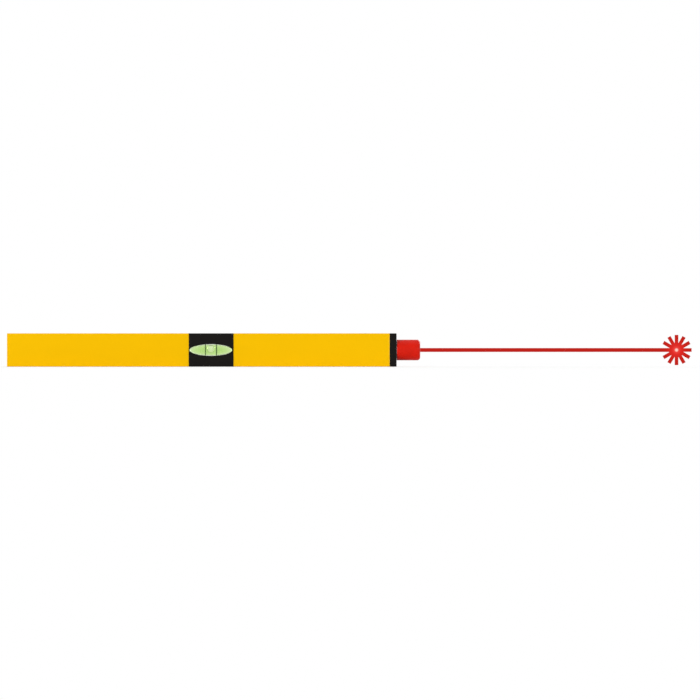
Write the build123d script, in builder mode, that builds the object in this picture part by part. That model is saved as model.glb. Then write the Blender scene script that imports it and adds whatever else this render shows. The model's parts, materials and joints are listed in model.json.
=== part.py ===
from build123d import *

import os
from math import atan2, degrees

# Laser spirit level: a yellow box-section bar with a black vial block let into its middle,
# a black cap on its right end and a red focusing laser head on the cap.
# Millimetres. +X runs along the bar towards the laser, -Y faces the user, +Z is up.
# The origin is the middle of the lower measuring face.

# Bar
LENGTH = 600.0
HEIGHT = 51.4
DEPTH = 33.0
SIDE_WALL = 2.0
FLANGE_WALL = 3.0
EDGE_RADIUS = 1.2
MID_Z = HEIGHT / 2
LEFT_END = -LENGTH / 2
RIGHT_END = LENGTH / 2
REAR = DEPTH / 2
INNER_DEPTH = DEPTH - 2 * SIDE_WALL
INNER_HEIGHT = HEIGHT - 2 * FLANGE_WALL

# Room left between pieces
FIT_GAP = 0.3
SLIP_GAP = 0.1
RUN_GAP = 0.05

# Screw ports of the extrusion
PORT_Y = 10.0
PORT_Z = 20.0
PORT_RADIUS = 3.3
PORT_BORE = 1.75
PORT_SLOT = 1.6

# End pieces
CAP_THICKNESS = 10.2
GASKET_THICKNESS = 0.6
GASKET_INSET = 0.3
SPIGOT_DEPTH = 12.0
SPIGOT_GAP = 0.2
CAP_EDGE = 1.0
CAP_BACK = RIGHT_END - CAP_THICKNESS
BODY_END = CAP_BACK - GASKET_THICKNESS
SPIGOT_BACK = CAP_BACK - SPIGOT_DEPTH
CAP_SCREW_RADIUS = 1.7
CAP_SCREW_LENGTH = 16.0
CAP_SCREW_HEAD = 3.4
CAP_SCREW_HEAD_HEIGHT = 2.6
CAP_HOLE = 2.0
CAP_COUNTERBORE = 3.6
CAP_COUNTERBORE_DEPTH = 4.5
PLUG_RECESS = 0.4
PLUG_DEPTH = 12.0
PLUG_WALL = 2.4
PULL_SLOT = (14.0, 4.0)

# Vial block
BLOCK_X = 14.4
VIAL_X = 13.8
BLOCK_LENGTH = 68.8
PLATE_THICKNESS = 1.2
PLATE_EDGE = 0.5
PLATE_FACE = REAR + PLATE_THICKNESS
POCKET_LENGTH = 68.4
POCKET_HEIGHT = 31.6
POCKET_RADIUS = 2.0
BOSS_LENGTH = 68.0
BOSS_HEIGHT = 31.0
WINDOW_A = 32.9
WINDOW_B = 8.9
WINDOW_RIM = 0.3
VIAL_REACH = 17.2
CAVITY_A = 31.4
CAVITY_B = 7.7
TIP_ANGLE = 9.0
BUBBLE_A = 6.0
BUBBLE_B = 5.8
BUBBLE_DEPTH = 0.4
BUBBLE_SWING = 6.0
CHANNEL_RADIUS = 6.5
CHANNEL_END_ROOM = 0.4
LINE_OFFSET = 8.45
LINE_WIDTH = 1.0
LINE_DEPTH = 0.2
VIAL_SCREW_X = 27.0
VIAL_SCREW_Z = 12.8
VIAL_SCREW_RADIUS = 1.2
VIAL_SCREW_HEAD = 2.5
VIAL_SCREW_HEAD_HEIGHT = 1.4
VIAL_SCREW_LENGTH = 24.0
VIAL_PILOT_DEPTH = 8.5
NOTCH_LENGTH = 46.0
NOTCH_DEPTH = 11.0
NOTCH_RADIUS = 3.0
TOP_SLOT_LENGTH = 44.0
TOP_SLOT_DEPTH = 10.0
TOP_WINDOW_DROP = 0.2
TOP_WINDOW_CROWN = 14.0
TOP_WINDOW_FLANGE = 2.0
TOP_WINDOW_LIP = 0.7

# Laser head. The lengths are measured along the bar from the face of the end cap.
SLEEVE_BACK = RIGHT_END - 42.0
SLEEVE_FRONT = RIGHT_END + 18.0
SLEEVE_RADIUS = 13.0
SLEEVE_BORE = 9.5
SLEEVE_FLANGE_RADIUS = 14.2
SLEEVE_FLANGE_THICKNESS = 3.0
SLEEVE_EAR_WIDTH = 12.0
SLEEVE_EAR_HEIGHT = 42.0
SLEEVE_SCREW_Z = 17.5
SLEEVE_SCREW_RADIUS = 1.5
SLEEVE_SCREW_LENGTH = 11.0
SLEEVE_SCREW_HEAD = 2.7
SLEEVE_SCREW_HEAD_HEIGHT = 1.8
SHOULDER_BACK = RIGHT_END - 3.0
SHOULDER_FRONT = RIGHT_END - 1.0
SHOULDER_BORE = 7.0
O_RING_X = RIGHT_END + 4.0
O_RING_MAJOR = 12.25
O_RING_MINOR = 0.75
O_RING_GROOVE = 11.45
O_RING_GROOVE_HALF = 1.0
CLIP_X = RIGHT_END + 9.6
CLIP_THICKNESS = 1.0
CLIP_INNER = 12.25
CLIP_OUTER = 13.7
CLIP_GAP = 8.0
HEAD_BACK = RIGHT_END + 0.4
HEAD_FRONT = RIGHT_END + 36.4
HEAD_RADIUS = 15.95
HEAD_NOSE = 4.5
HEAD_BACK_EDGE = 0.5
HEAD_BORE = SLEEVE_RADIUS + RUN_GAP
HEAD_BORE_END = RIGHT_END + 19.5
HEAD_THROAT = 8.0
HEAD_CLIP_GROOVE = 14.0
HEAD_SEAT = 9.0
HEAD_SEAT_BACK = RIGHT_END + 31.0
GLASS_THICKNESS = 1.5
APERTURE_INNER = 5.0
APERTURE_MOUTH = 7.5
APERTURE_DROP = 0.2
SPANNER_SLOT_WIDTH = 1.8
SPANNER_SLOT_DEPTH = 1.2
SPANNER_ANGLES = (90.0, 270.0)
INDEX_LENGTH = 5.0
INDEX_WIDTH = 1.0
INDEX_DEPTH = 0.4
INDEX_GAP = 1.2

# Focusing: the pins of the lens cell run in two helical grooves of the head
FOCUS_PITCH = 9.0
FOCUS_TURN = 60.0
GROOVE_SPARE = 14.0
GROOVE_WIDTH = 2.3
GROOVE_DEPTH = 2.1
GROOVE_RADIUS = 13.5
ENTRY_ANGLE = -FOCUS_TURN - 12.0
PIN_X = RIGHT_END + 14.0
PIN_RADIUS = 1.0
PIN_INNER = 7.0
PIN_OUTER = 14.2
PIN_ANGLES = (0.0, 180.0)
SLOT_WIDTH = 2.2
SLOT_BACK = RIGHT_END + 11.1
CELL_BACK = RIGHT_END + 8.5
CELL_FRONT = RIGHT_END + 17.5
CELL_RADIUS = SLEEVE_BORE - 0.06
CELL_BORE = 5.5
LENS_RADIUS = 6.5
LENS_BACK = RIGHT_END + 12.5
LENS_EDGE = RIGHT_END + 14.2
LENS_APEX = RIGHT_END + 16.0
RETAINER_FRONT = RIGHT_END + 17.3
RETAINER_INNER = 5.6
RETAINER_SEAT = RIGHT_END + 14.75
LENS_SPRING_RADIUS = 8.2
LENS_SPRING_WIRE = 0.4
LENS_SPRING_TURNS = 4

# Laser diode in its adjustable barrel
BARREL_BACK = RIGHT_END - 38.0
BARREL_FRONT = RIGHT_END - 2.0
BARREL_RADIUS = 6.5
BARREL_SLOT_END = RIGHT_END - 33.0
BARREL_SLOT_WIDTH = 1.4
DIODE_SEAT = RIGHT_END - 23.0
DIODE_BORE = 2.85
DIODE_FLANGE = 2.8
DIODE_FLANGE_THICKNESS = 1.2
DIODE_CAN = 2.35
DIODE_CAN_LENGTH = 3.5
DIODE_WINDOW = 0.8
DIODE_LEAD = 0.225
DIODE_LEAD_SPREAD = 1.0
LEAD_BORE = 2.0
PIVOT_BACK = RIGHT_END - 10.0
PIVOT_LENGTH = 4.0
PIVOT_GAP = 0.02
ADJUST_X = RIGHT_END - 29.5
ADJUST_RADIUS = 1.4
ADJUST_INNER = BARREL_RADIUS + RUN_GAP
ADJUST_OUTER = 12.8
ADJUST_ANGLES = (45.0, 135.0, 225.0, 315.0)
BOARD_BACK = RIGHT_END - 64.0
BOARD_FRONT = RIGHT_END - 33.2
BOARD_HEIGHT = 12.0
BOARD_THICKNESS = 1.2
FIRST_PART_X = 9.5
SECOND_PART_X = 16.5
CHIP_SIZE = (5.0, 4.0)
CHIP_HEIGHT = 1.4
RESISTOR_SIZE = (3.0, 1.6)
RESISTOR_SPACING = 4.0
CAPACITOR_RADIUS = 2.5
CAPACITOR_HEIGHT = 3.2
TRIMMER_SIZE = 4.0

# Battery compartment in the rear wall
BATTERY_X = 142.0
TRAY_POCKET_LENGTH = 50.0
TRAY_POCKET_HEIGHT = 23.0
TRAY_WALL = 2.2
TRAY_FLOOR = 5.5
TRAY_FLOOR_THICKNESS = 1.6
FRAME_LENGTH = 66.0
FRAME_HEIGHT = 35.0
FRAME_THICKNESS = 2.4
FRAME_EDGE = 0.8
FRAME_FACE = REAR + FRAME_THICKNESS
DOOR_RECESS_LENGTH = 52.0
DOOR_RECESS_BOTTOM = -12.5
DOOR_RECESS_TOP = 12.8
DOOR_THICKNESS = 2.0
DOOR_AXIS_Z = 11.2
DOOR_BOTTOM = -12.2
DOOR_AXIS_Y = FRAME_FACE - DOOR_THICKNESS / 2
DOOR_PIN_RADIUS = 0.6
DOOR_PIN_LENGTH = 58.0
GRIP_LENGTH = 16.0
GRIP_PITCH = 1.8
GRIP_WIDTH = 0.9
GRIP_DEPTH = 0.5
NAIL_NOTCH_LENGTH = 14.0
NAIL_NOTCH_HEIGHT = 3.0
NAIL_NOTCH_DEPTH = 1.6
FRAME_SCREW_X = 30.2
FRAME_SCREW_RADIUS = 0.95
FRAME_SCREW_HEAD = 1.9
FRAME_SCREW_HEAD_HEIGHT = 1.0
FRAME_SCREW_LENGTH = 5.0
CELL_LENGTH = 44.5
CELL_DIAMETER = 10.5
CELL_NUB_RADIUS = 1.9
CELL_NUB_LENGTH = 1.0
CELL_EDGE = 0.5
CELL_Y = 11.15
CELL_Z = 5.6
CONTACT_THICKNESS = 0.4
CONTACT_GAP = 0.05
CONTACT_SIZE = (9.0, 8.4)
BRIDGE_HEIGHT = 19.0
TAG_Y = 7.2
TAG_WIDTH = 2.4
TAG_REACH = 30.0
SPRING_WIRE = 0.35
SPRING_WIDE = 3.4
SPRING_NARROW = 2.2
SPRING_TURNS = 4

# Push switch in the rear wall
SWITCH_X = 205.0
BEZEL_RADIUS = 9.0
BEZEL_FACE = REAR + 1.6
BEZEL_SLEEVE = 7.4
BEZEL_SLEEVE_BORE = 6.9
BEZEL_BACK = 9.0
BEZEL_LIP = 6.1
BEZEL_LIP_BACK = 15.6
NUT_ACROSS_FLATS = 20.0
NUT_THICKNESS = 2.5
BUTTON_RADIUS = 5.8
BUTTON_FACE = 19.3
BUTTON_EDGE = 0.9
BUTTON_DISH_RADIUS = 25.0
BUTTON_DISH_DEPTH = 0.4
SKIRT_RADIUS = 6.6
SKIRT_TOP = 15.3
SKIRT_BOTTOM = 12.0
STEM_RADIUS = 2.0
STEM_BOTTOM = 8.0
SWITCH_SIZE = 12.0
SWITCH_BACK = 2.5
SWITCH_WELL = 2.3
SWITCH_WELL_BOTTOM = 5.5
TERMINAL_X = 3.0
TERMINAL_END = -1.0
TERMINAL_SIZE = (2.0, 0.6)
BUTTON_SPRING_RADIUS = 3.5
BUTTON_SPRING_WIRE = 0.2
BUTTON_SPRING_TURNS = 3

# Wires
WIRE_RADIUS = 0.7
WIRE_GAP = 0.05
WIRE_EXIT = 8.0
WIRE_SWEEP = 12.0
WIRE_BEND = 3.0
BOARD_WIRE_Z = 4.0
LOW_WIRE_Z = 13.0

# Threaded insert in the base for a camera tripod, quarter-inch thread drilled at tap size
INSERT_X = 85.0
INSERT_RADIUS = 5.0
INSERT_FLANGE = 6.4
INSERT_FLANGE_THICKNESS = 2.5
INSERT_DROP = 0.2
INSERT_HEIGHT = 12.0
INSERT_BORE = 2.55
INSERT_BORE_DEPTH = 10.6

LASER_AXIS = Axis((0, 0, MID_Z), (1, 0, 0))
BUBBLE_Z = MID_Z + CAVITY_B - BUBBLE_DEPTH - BUBBLE_B
ROLL_CENTRE_Z = MID_Z + CAVITY_B - CAVITY_A**2 / CAVITY_B
ROLL_AXIS = Axis((VIAL_X, 0, ROLL_CENTRE_Z), (0, 1, 0))
FROM_BASE = (Align.CENTER, Align.CENTER, Align.MIN)
FROM_TOP = (Align.CENTER, Align.CENTER, Align.MAX)

os.makedirs("parts", exist_ok=True)


def front_view(y):
    """Sketch plane at depth y with X to the right and Z up; extrusions go towards the front."""
    return Plane.XZ.offset(-y)


def end_view(x):
    """Sketch plane at length x with Y across and Z up; extrusions go towards the laser."""
    return Plane.YZ.offset(x)


def radial_places(x, angles):
    """Places on the laser axis at length x, each turned so that local Z points outwards."""
    return [Location((x, 0, MID_Z), (angle, 0, 0)) for angle in angles]


def rearward_places(centre_x, y, offsets):
    """Places on a face that looks to the rear, local Z outwards, at (x, z) offsets from mid-height."""
    return [
        Plane(origin=(centre_x + dx, y, MID_Z + dz), x_dir=(1, 0, 0), z_dir=(0, 1, 0)).location
        for dx, dz in offsets
    ]


def corners(half_width, half_height):
    """The four corners of a rectangle about its centre."""
    return [(sx * half_width, sz * half_height) for sx in (-1, 1) for sz in (-1, 1)]


def turned(outline, mode=Mode.ADD):
    """Revolve a closed outline of (x, radius) points about the laser axis."""
    with BuildSketch(Plane.XZ) as section:
        with BuildLine():
            Polyline(*[(x, MID_Z + radius) for x, radius in outline], close=True)
        make_face()
    revolve(section.sketch, axis=LASER_AXIS, mode=mode)


def ring_outline(start, end, inner, outer):
    """Outline of a plain ring between two lengths and two radii."""
    return [(start, inner), (start, outer), (end, outer), (end, inner)]


def ellipsoid(centre_z, half_length, half_height, mode=Mode.ADD):
    """Ellipsoid of revolution with blunt tips, its long axis along the bar, at the middle of the vial."""
    with BuildSketch(Plane.XZ) as section:
        with BuildLine():
            arc = EllipticalCenterArc(
                (VIAL_X, centre_z), half_length, half_height, TIP_ANGLE, arc_size=180 - 2 * TIP_ANGLE
            )
            left_tip = arc @ 1
            right_tip = arc @ 0
            Polyline(left_tip, (left_tip.X, centre_z), (right_tip.X, centre_z), right_tip)
        make_face()
    revolve(section.sketch, axis=Axis((VIAL_X, 0, centre_z), (1, 0, 0)), mode=mode)


def spigot_sketch(x, gap):
    """Cross-shaped section that fills the bar's hollow and leaves room for the screw ports."""
    with BuildSketch(end_view(x)) as section:
        with Locations((0, MID_Z)):
            Rectangle(INNER_DEPTH - 2 * gap, 2 * (PORT_Z - PORT_RADIUS - gap))
            Rectangle(2 * (PORT_Y - PORT_RADIUS - gap), INNER_HEIGHT - 2 * gap)
    return section.sketch


def screw_set(places, radius, length, head_radius, head_height, countersunk):
    """Separate cross-head screws with local Z out of the head; the head's base is at each place."""
    recess_width = head_radius / 4
    recess_depth = head_height * 0.6
    with BuildPart() as screws:
        with Locations(*places):
            Cylinder(radius, length, align=FROM_TOP)
            if countersunk:
                Cone(radius, head_radius, head_height, align=FROM_BASE)
            else:
                Cylinder(head_radius, head_height, align=FROM_BASE)
        with Locations(*[place * Pos(0, 0, head_height) for place in places]):
            Box(head_radius * 1.2, recess_width, 2 * recess_depth, mode=Mode.SUBTRACT)
            Box(recess_width, head_radius * 1.2, 2 * recess_depth, mode=Mode.SUBTRACT)
    return screws


def coil(start, direction, length, turns, wire, radius, end_radius):
    """Round-wire spring that winds from start along direction."""
    cone_angle = degrees(atan2(end_radius - radius, length))
    with BuildPart() as spring:
        with BuildLine() as path:
            Helix(length / turns, length, radius, center=start, direction=direction, cone_angle=cone_angle)
        with BuildSketch(Plane(origin=path.line @ 0, z_dir=path.line % 0)):
            Circle(wire)
        sweep(path=path.line, is_frenet=True)
    return spring


def wire_lead(points, radius):
    """Insulated wire along straight runs joined by tangent arcs."""
    with BuildPart() as lead:
        with BuildLine() as path:
            FilletPolyline(*points, radius=radius)
        with BuildSketch(Plane(origin=path.line @ 0, z_dir=path.line % 0)):
            Circle(WIRE_RADIUS)
        sweep(path=path.line)
    return lead


# Bar: box-section extrusion with four screw ports
tray_length = TRAY_POCKET_LENGTH + 2 * TRAY_WALL
tray_height = TRAY_POCKET_HEIGHT + 2 * TRAY_WALL
with BuildPart() as body_profile:
    with BuildSketch(end_view(LEFT_END)):
        with Locations((0, MID_Z)):
            RectangleRounded(DEPTH, HEIGHT, EDGE_RADIUS)
            Rectangle(INNER_DEPTH, INNER_HEIGHT, mode=Mode.SUBTRACT)
            with GridLocations(2 * PORT_Y, 2 * PORT_Z, 2, 2):
                Circle(PORT_RADIUS)
            with GridLocations(2 * PORT_Y, 2 * PORT_Z, 2, 2):
                Circle(PORT_BORE, mode=Mode.SUBTRACT)
            with GridLocations(2 * PORT_Y, 0, 2, 1):
                Rectangle(PORT_SLOT, 2 * PORT_Z, mode=Mode.SUBTRACT)
    extrude(amount=BODY_END - LEFT_END)
    # Pocket for the vial block, through both side walls
    with BuildSketch(front_view(0)):
        with Locations((BLOCK_X, MID_Z)):
            RectangleRounded(POCKET_LENGTH, POCKET_HEIGHT, POCKET_RADIUS)
    extrude(amount=DEPTH, both=True, mode=Mode.SUBTRACT)
    # Opening in the top flange for reading the vial from above
    with BuildSketch(Plane.XY.offset(HEIGHT)):
        with Locations((BLOCK_X, 0)):
            RectangleRounded(NOTCH_LENGTH, NOTCH_DEPTH, NOTCH_RADIUS)
    extrude(amount=-FLANGE_WALL, mode=Mode.SUBTRACT)
    # Battery opening, its screw holes and the switch hole in the rear wall
    with BuildSketch(front_view(REAR)):
        with Locations((BATTERY_X, MID_Z)):
            Rectangle(tray_length + 2 * FIT_GAP, tray_height + 2 * FIT_GAP)
            with GridLocations(2 * FRAME_SCREW_X, 0, 2, 1):
                Circle(FRAME_SCREW_RADIUS + RUN_GAP)
        with Locations((SWITCH_X, MID_Z)):
            Circle(BEZEL_SLEEVE + SLIP_GAP)
    extrude(amount=SIDE_WALL, mode=Mode.SUBTRACT)
    # Tripod hole in the base
    with BuildSketch(Plane.XY):
        with Locations((INSERT_X, 0)):
            Circle(INSERT_RADIUS + RUN_GAP)
    extrude(amount=FLANGE_WALL, mode=Mode.SUBTRACT)

# Plug that closes the left end, shaped round the screw ports
with BuildPart() as left_end_plug:
    plug_face = LEFT_END + PLUG_RECESS
    with BuildSketch(end_view(plug_face)):
        with Locations((0, MID_Z)):
            Rectangle(INNER_DEPTH - 2 * SPIGOT_GAP, INNER_HEIGHT - 2 * SPIGOT_GAP)
            with GridLocations(2 * PORT_Y, 2 * PORT_Z, 2, 2):
                Circle(PORT_RADIUS + SPIGOT_GAP, mode=Mode.SUBTRACT)
            with GridLocations(2 * PORT_Y, INNER_HEIGHT, 2, 2):
                Rectangle(2 * (PORT_RADIUS + SPIGOT_GAP), INNER_HEIGHT - 2 * PORT_Z, mode=Mode.SUBTRACT)
    extrude(amount=PLUG_DEPTH)
    with BuildSketch(end_view(plug_face + PLUG_WALL)):
        with Locations((0, MID_Z)):
            Rectangle(INNER_DEPTH - 2 * PLUG_WALL, 2 * (PORT_Z - PORT_RADIUS - PLUG_WALL))
            Rectangle(PLUG_WALL, 2 * PORT_Z, mode=Mode.SUBTRACT)
    extrude(amount=PLUG_DEPTH, mode=Mode.SUBTRACT)
    with BuildSketch(end_view(plug_face)):
        with Locations((0, MID_Z)):
            with GridLocations(0, 2 * PULL_SLOT[0], 1, 2):
                SlotOverall(PULL_SLOT[0], PULL_SLOT[1])
    extrude(amount=PLUG_WALL / 2, mode=Mode.SUBTRACT)

# Gasket between the bar and the right end cap
with BuildPart() as cap_gasket:
    with BuildSketch(end_view(BODY_END)):
        with Locations((0, MID_Z)):
            RectangleRounded(DEPTH - 2 * GASKET_INSET, HEIGHT - 2 * GASKET_INSET, EDGE_RADIUS)
            with GridLocations(2 * PORT_Y, 2 * PORT_Z, 2, 2):
                Circle(CAP_HOLE, mode=Mode.SUBTRACT)
    extrude(amount=GASKET_THICKNESS)
    extrude(spigot_sketch(BODY_END, SLIP_GAP), amount=GASKET_THICKNESS, mode=Mode.SUBTRACT)

# Right end cap: flange over the bar's end, spigot inside it and a bore for the laser sleeve
with BuildPart() as right_end_cap:
    with BuildSketch(end_view(CAP_BACK)):
        with Locations((0, MID_Z)):
            RectangleRounded(DEPTH, HEIGHT, EDGE_RADIUS)
    extrude(amount=CAP_THICKNESS)
    fillet(right_end_cap.faces().sort_by(Axis.X)[-1].edges(), CAP_EDGE)
    extrude(spigot_sketch(SPIGOT_BACK, SPIGOT_GAP), amount=SPIGOT_DEPTH)
    with BuildSketch(end_view(SPIGOT_BACK)):
        with Locations((0, MID_Z)):
            Circle(SLEEVE_RADIUS + SLIP_GAP)
    extrude(amount=SPIGOT_DEPTH + CAP_THICKNESS, mode=Mode.SUBTRACT)
    with BuildSketch(end_view(SPIGOT_BACK)):
        with Locations((0, MID_Z)):
            with GridLocations(0, 2 * SLEEVE_SCREW_Z, 1, 2):
                Circle(SLEEVE_SCREW_RADIUS + RUN_GAP)
    extrude(amount=SPIGOT_DEPTH, mode=Mode.SUBTRACT)
    with Locations(Plane(origin=(RIGHT_END, 0, MID_Z), x_dir=(0, 1, 0), z_dir=(1, 0, 0))):
        with GridLocations(2 * PORT_Y, 2 * PORT_Z, 2, 2):
            CounterBoreHole(CAP_HOLE, CAP_COUNTERBORE, CAP_COUNTERBORE_DEPTH, CAP_THICKNESS)
    # Index groove above the head, which shows how far the head is turned
    with Locations((RIGHT_END, 0, MID_Z + HEAD_RADIUS + INDEX_GAP)):
        Box(2 * INDEX_DEPTH, INDEX_WIDTH, INDEX_LENGTH, align=FROM_BASE, mode=Mode.SUBTRACT)

cap_screws = screw_set(
    [
        Plane(
            origin=(RIGHT_END - CAP_COUNTERBORE_DEPTH, y, MID_Z + z), x_dir=(0, 1, 0), z_dir=(1, 0, 0)
        ).location
        for y, z in corners(PORT_Y, PORT_Z)
    ],
    CAP_SCREW_RADIUS,
    CAP_SCREW_LENGTH,
    CAP_SCREW_HEAD,
    CAP_SCREW_HEAD_HEIGHT,
    countersunk=False,
)

# Threaded insert in the base, with its flange inside the bar
with BuildPart() as tripod_insert:
    with Locations((INSERT_X, 0, INSERT_DROP)):
        Cylinder(INSERT_RADIUS, INSERT_HEIGHT, align=FROM_BASE)
    with Locations((INSERT_X, 0, FLANGE_WALL)):
        Cylinder(INSERT_FLANGE, INSERT_FLANGE_THICKNESS, align=FROM_BASE)
    with Locations((INSERT_X, 0, INSERT_DROP)):
        Cylinder(INSERT_BORE, INSERT_BORE_DEPTH, align=FROM_BASE, mode=Mode.SUBTRACT)


def vial_shell(side):
    """Half of the vial housing, side -1 for the front and 1 for the rear: a cover plate over the
    bar's full height, a boss that reaches the middle of the bar and an eye-shaped window."""
    with BuildPart() as shell:
        with BuildSketch(front_view(side * REAR)) as plate:
            with Locations((BLOCK_X, MID_Z)):
                Rectangle(BLOCK_LENGTH, HEIGHT)
        extrude(plate.sketch, amount=-side * PLATE_THICKNESS)
        outer_face = shell.faces().sort_by(Axis.Y)[0 if side < 0 else -1]
        fillet(outer_face.edges(), PLATE_EDGE)
        with BuildSketch(front_view(side * REAR)) as boss:
            with Locations((BLOCK_X, MID_Z)):
                RectangleRounded(BOSS_LENGTH, BOSS_HEIGHT, POCKET_RADIUS)
        extrude(boss.sketch, amount=side * REAR)
        with BuildSketch(front_view(0)) as window:
            with Locations((VIAL_X, MID_Z)):
                Ellipse(WINDOW_A, WINDOW_B)
        extrude(window.sketch, amount=-side * DEPTH, mode=Mode.SUBTRACT)
        outer_face = shell.faces().sort_by(Axis.Y)[0 if side < 0 else -1]
        fillet(outer_face.inner_wires()[0].edges(), WINDOW_RIM)
        with BuildSketch(Plane.XY.offset(MID_Z)) as top_slot:
            with Locations((BLOCK_X, 0)):
                RectangleRounded(TOP_SLOT_LENGTH, TOP_SLOT_DEPTH, NOTCH_RADIUS)
        extrude(top_slot.sketch, amount=BOSS_HEIGHT / 2, mode=Mode.SUBTRACT)
        screw_spots = corners(VIAL_SCREW_X, VIAL_SCREW_Z)
        if side > 0:
            with Locations(*rearward_places(BLOCK_X, PLATE_FACE, screw_spots)):
                CounterSinkHole(VIAL_SCREW_RADIUS + SLIP_GAP, VIAL_SCREW_HEAD + SLIP_GAP, depth=DEPTH)
        else:
            with Locations(*rearward_places(BLOCK_X, 0, screw_spots)):
                Hole(VIAL_SCREW_RADIUS + RUN_GAP, depth=VIAL_PILOT_DEPTH)
    return shell


def line_sketch():
    """Two upright reading lines, cut to the outline of the vial."""
    with BuildSketch(front_view(0)) as lines:
        with Locations((VIAL_X, MID_Z)):
            with GridLocations(2 * LINE_OFFSET, 0, 2, 1):
                Rectangle(LINE_WIDTH, 2 * WINDOW_B)
            Ellipse(WINDOW_A - SLIP_GAP, WINDOW_B - SLIP_GAP, mode=Mode.INTERSECT)
    return lines.sketch


def vial_half(side):
    """Half of the clear vial: an eye-shaped block with half of the fluid chamber and two grooves
    for the reading lines."""
    with BuildPart() as half:
        with BuildSketch(front_view(0)) as outline:
            with Locations((VIAL_X, MID_Z)):
                Ellipse(WINDOW_A - SLIP_GAP, WINDOW_B - SLIP_GAP)
        extrude(outline.sketch, amount=-side * VIAL_REACH)
        ellipsoid(MID_Z, CAVITY_A, CAVITY_B, mode=Mode.SUBTRACT)
        grooves = line_sketch().moved(Pos(0, side * VIAL_REACH, 0))
        extrude(grooves, amount=side * LINE_DEPTH, mode=Mode.SUBTRACT)
    return half


front_vial_shell = vial_shell(-1)
rear_vial_shell = vial_shell(1)
vial_front_half = vial_half(-1)
vial_rear_half = vial_half(1)

vial_screw_seat = PLATE_FACE - VIAL_SCREW_HEAD_HEIGHT - SLIP_GAP
vial_screws = screw_set(
    rearward_places(BLOCK_X, vial_screw_seat, corners(VIAL_SCREW_X, VIAL_SCREW_Z)),
    VIAL_SCREW_RADIUS,
    VIAL_SCREW_LENGTH,
    VIAL_SCREW_HEAD,
    VIAL_SCREW_HEAD_HEIGHT,
    countersunk=True,
)

# Reading lines, inlaid in both faces of the vial
with BuildPart() as reading_lines:
    for face in (-1, 1):
        extrude(line_sketch().moved(Pos(0, face * VIAL_REACH, 0)), amount=face * LINE_DEPTH)

# Round end of the channel in which the bubble rolls
with BuildPart() as channel_end:
    ellipsoid(BUBBLE_Z, BUBBLE_A + CHANNEL_END_ROOM, BUBBLE_B + CHANNEL_END_ROOM)

# Fluid: it fills the chamber, less the arched channel of the bubble
with BuildPart() as vial_fluid:
    ellipsoid(MID_Z, CAVITY_A, CAVITY_B)
    with BuildSketch(end_view(VIAL_X)) as channel:
        with Locations((0, BUBBLE_Z)):
            Circle(CHANNEL_RADIUS)
    for swing in (-BUBBLE_SWING, BUBBLE_SWING):
        revolve(channel.sketch, axis=ROLL_AXIS, revolution_arc=swing, mode=Mode.SUBTRACT)
        add(channel_end.part.rotate(ROLL_AXIS, swing), mode=Mode.SUBTRACT)

with BuildPart() as vial_bubble:
    ellipsoid(BUBBLE_Z, BUBBLE_A, BUBBLE_B)

# Clear window with a crowned top in the top flange, held from inside between the flange and the vial block
with BuildPart() as top_window:
    flange_top = HEIGHT - FLANGE_WALL - SPIGOT_GAP
    flange_bottom = flange_top - TOP_WINDOW_FLANGE
    skirt_bottom = MID_Z + BOSS_HEIGHT / 2 + SPIGOT_GAP
    flange_size = (NOTCH_LENGTH + 2 * TOP_WINDOW_LIP, NOTCH_DEPTH + 2 * TOP_WINDOW_LIP)
    with BuildSketch(Plane.XY.offset(skirt_bottom)):
        with Locations((BLOCK_X, 0)):
            RectangleRounded(flange_size[0], flange_size[1], NOTCH_RADIUS)
    extrude(amount=flange_top - skirt_bottom)
    with BuildSketch(Plane.XY.offset(skirt_bottom)):
        with Locations((BLOCK_X, 0)):
            RectangleRounded(TOP_SLOT_LENGTH, TOP_SLOT_DEPTH, NOTCH_RADIUS)
    extrude(amount=flange_bottom - skirt_bottom, mode=Mode.SUBTRACT)
    with BuildSketch(Plane.XY.offset(flange_top)):
        with Locations((BLOCK_X, 0)):
            RectangleRounded(NOTCH_LENGTH - 2 * FIT_GAP, NOTCH_DEPTH - 2 * FIT_GAP, NOTCH_RADIUS - FIT_GAP)
    extrude(amount=HEIGHT - TOP_WINDOW_DROP - flange_top)
    with Locations(Location((BLOCK_X, 0, HEIGHT - TOP_WINDOW_DROP - TOP_WINDOW_CROWN), (0, 90, 0))):
        Cylinder(TOP_WINDOW_CROWN, 2 * NOTCH_LENGTH, mode=Mode.INTERSECT)
    fillet(top_window.faces().sort_by(Axis.Z)[-1].edges(), CAP_EDGE / 2)

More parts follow.
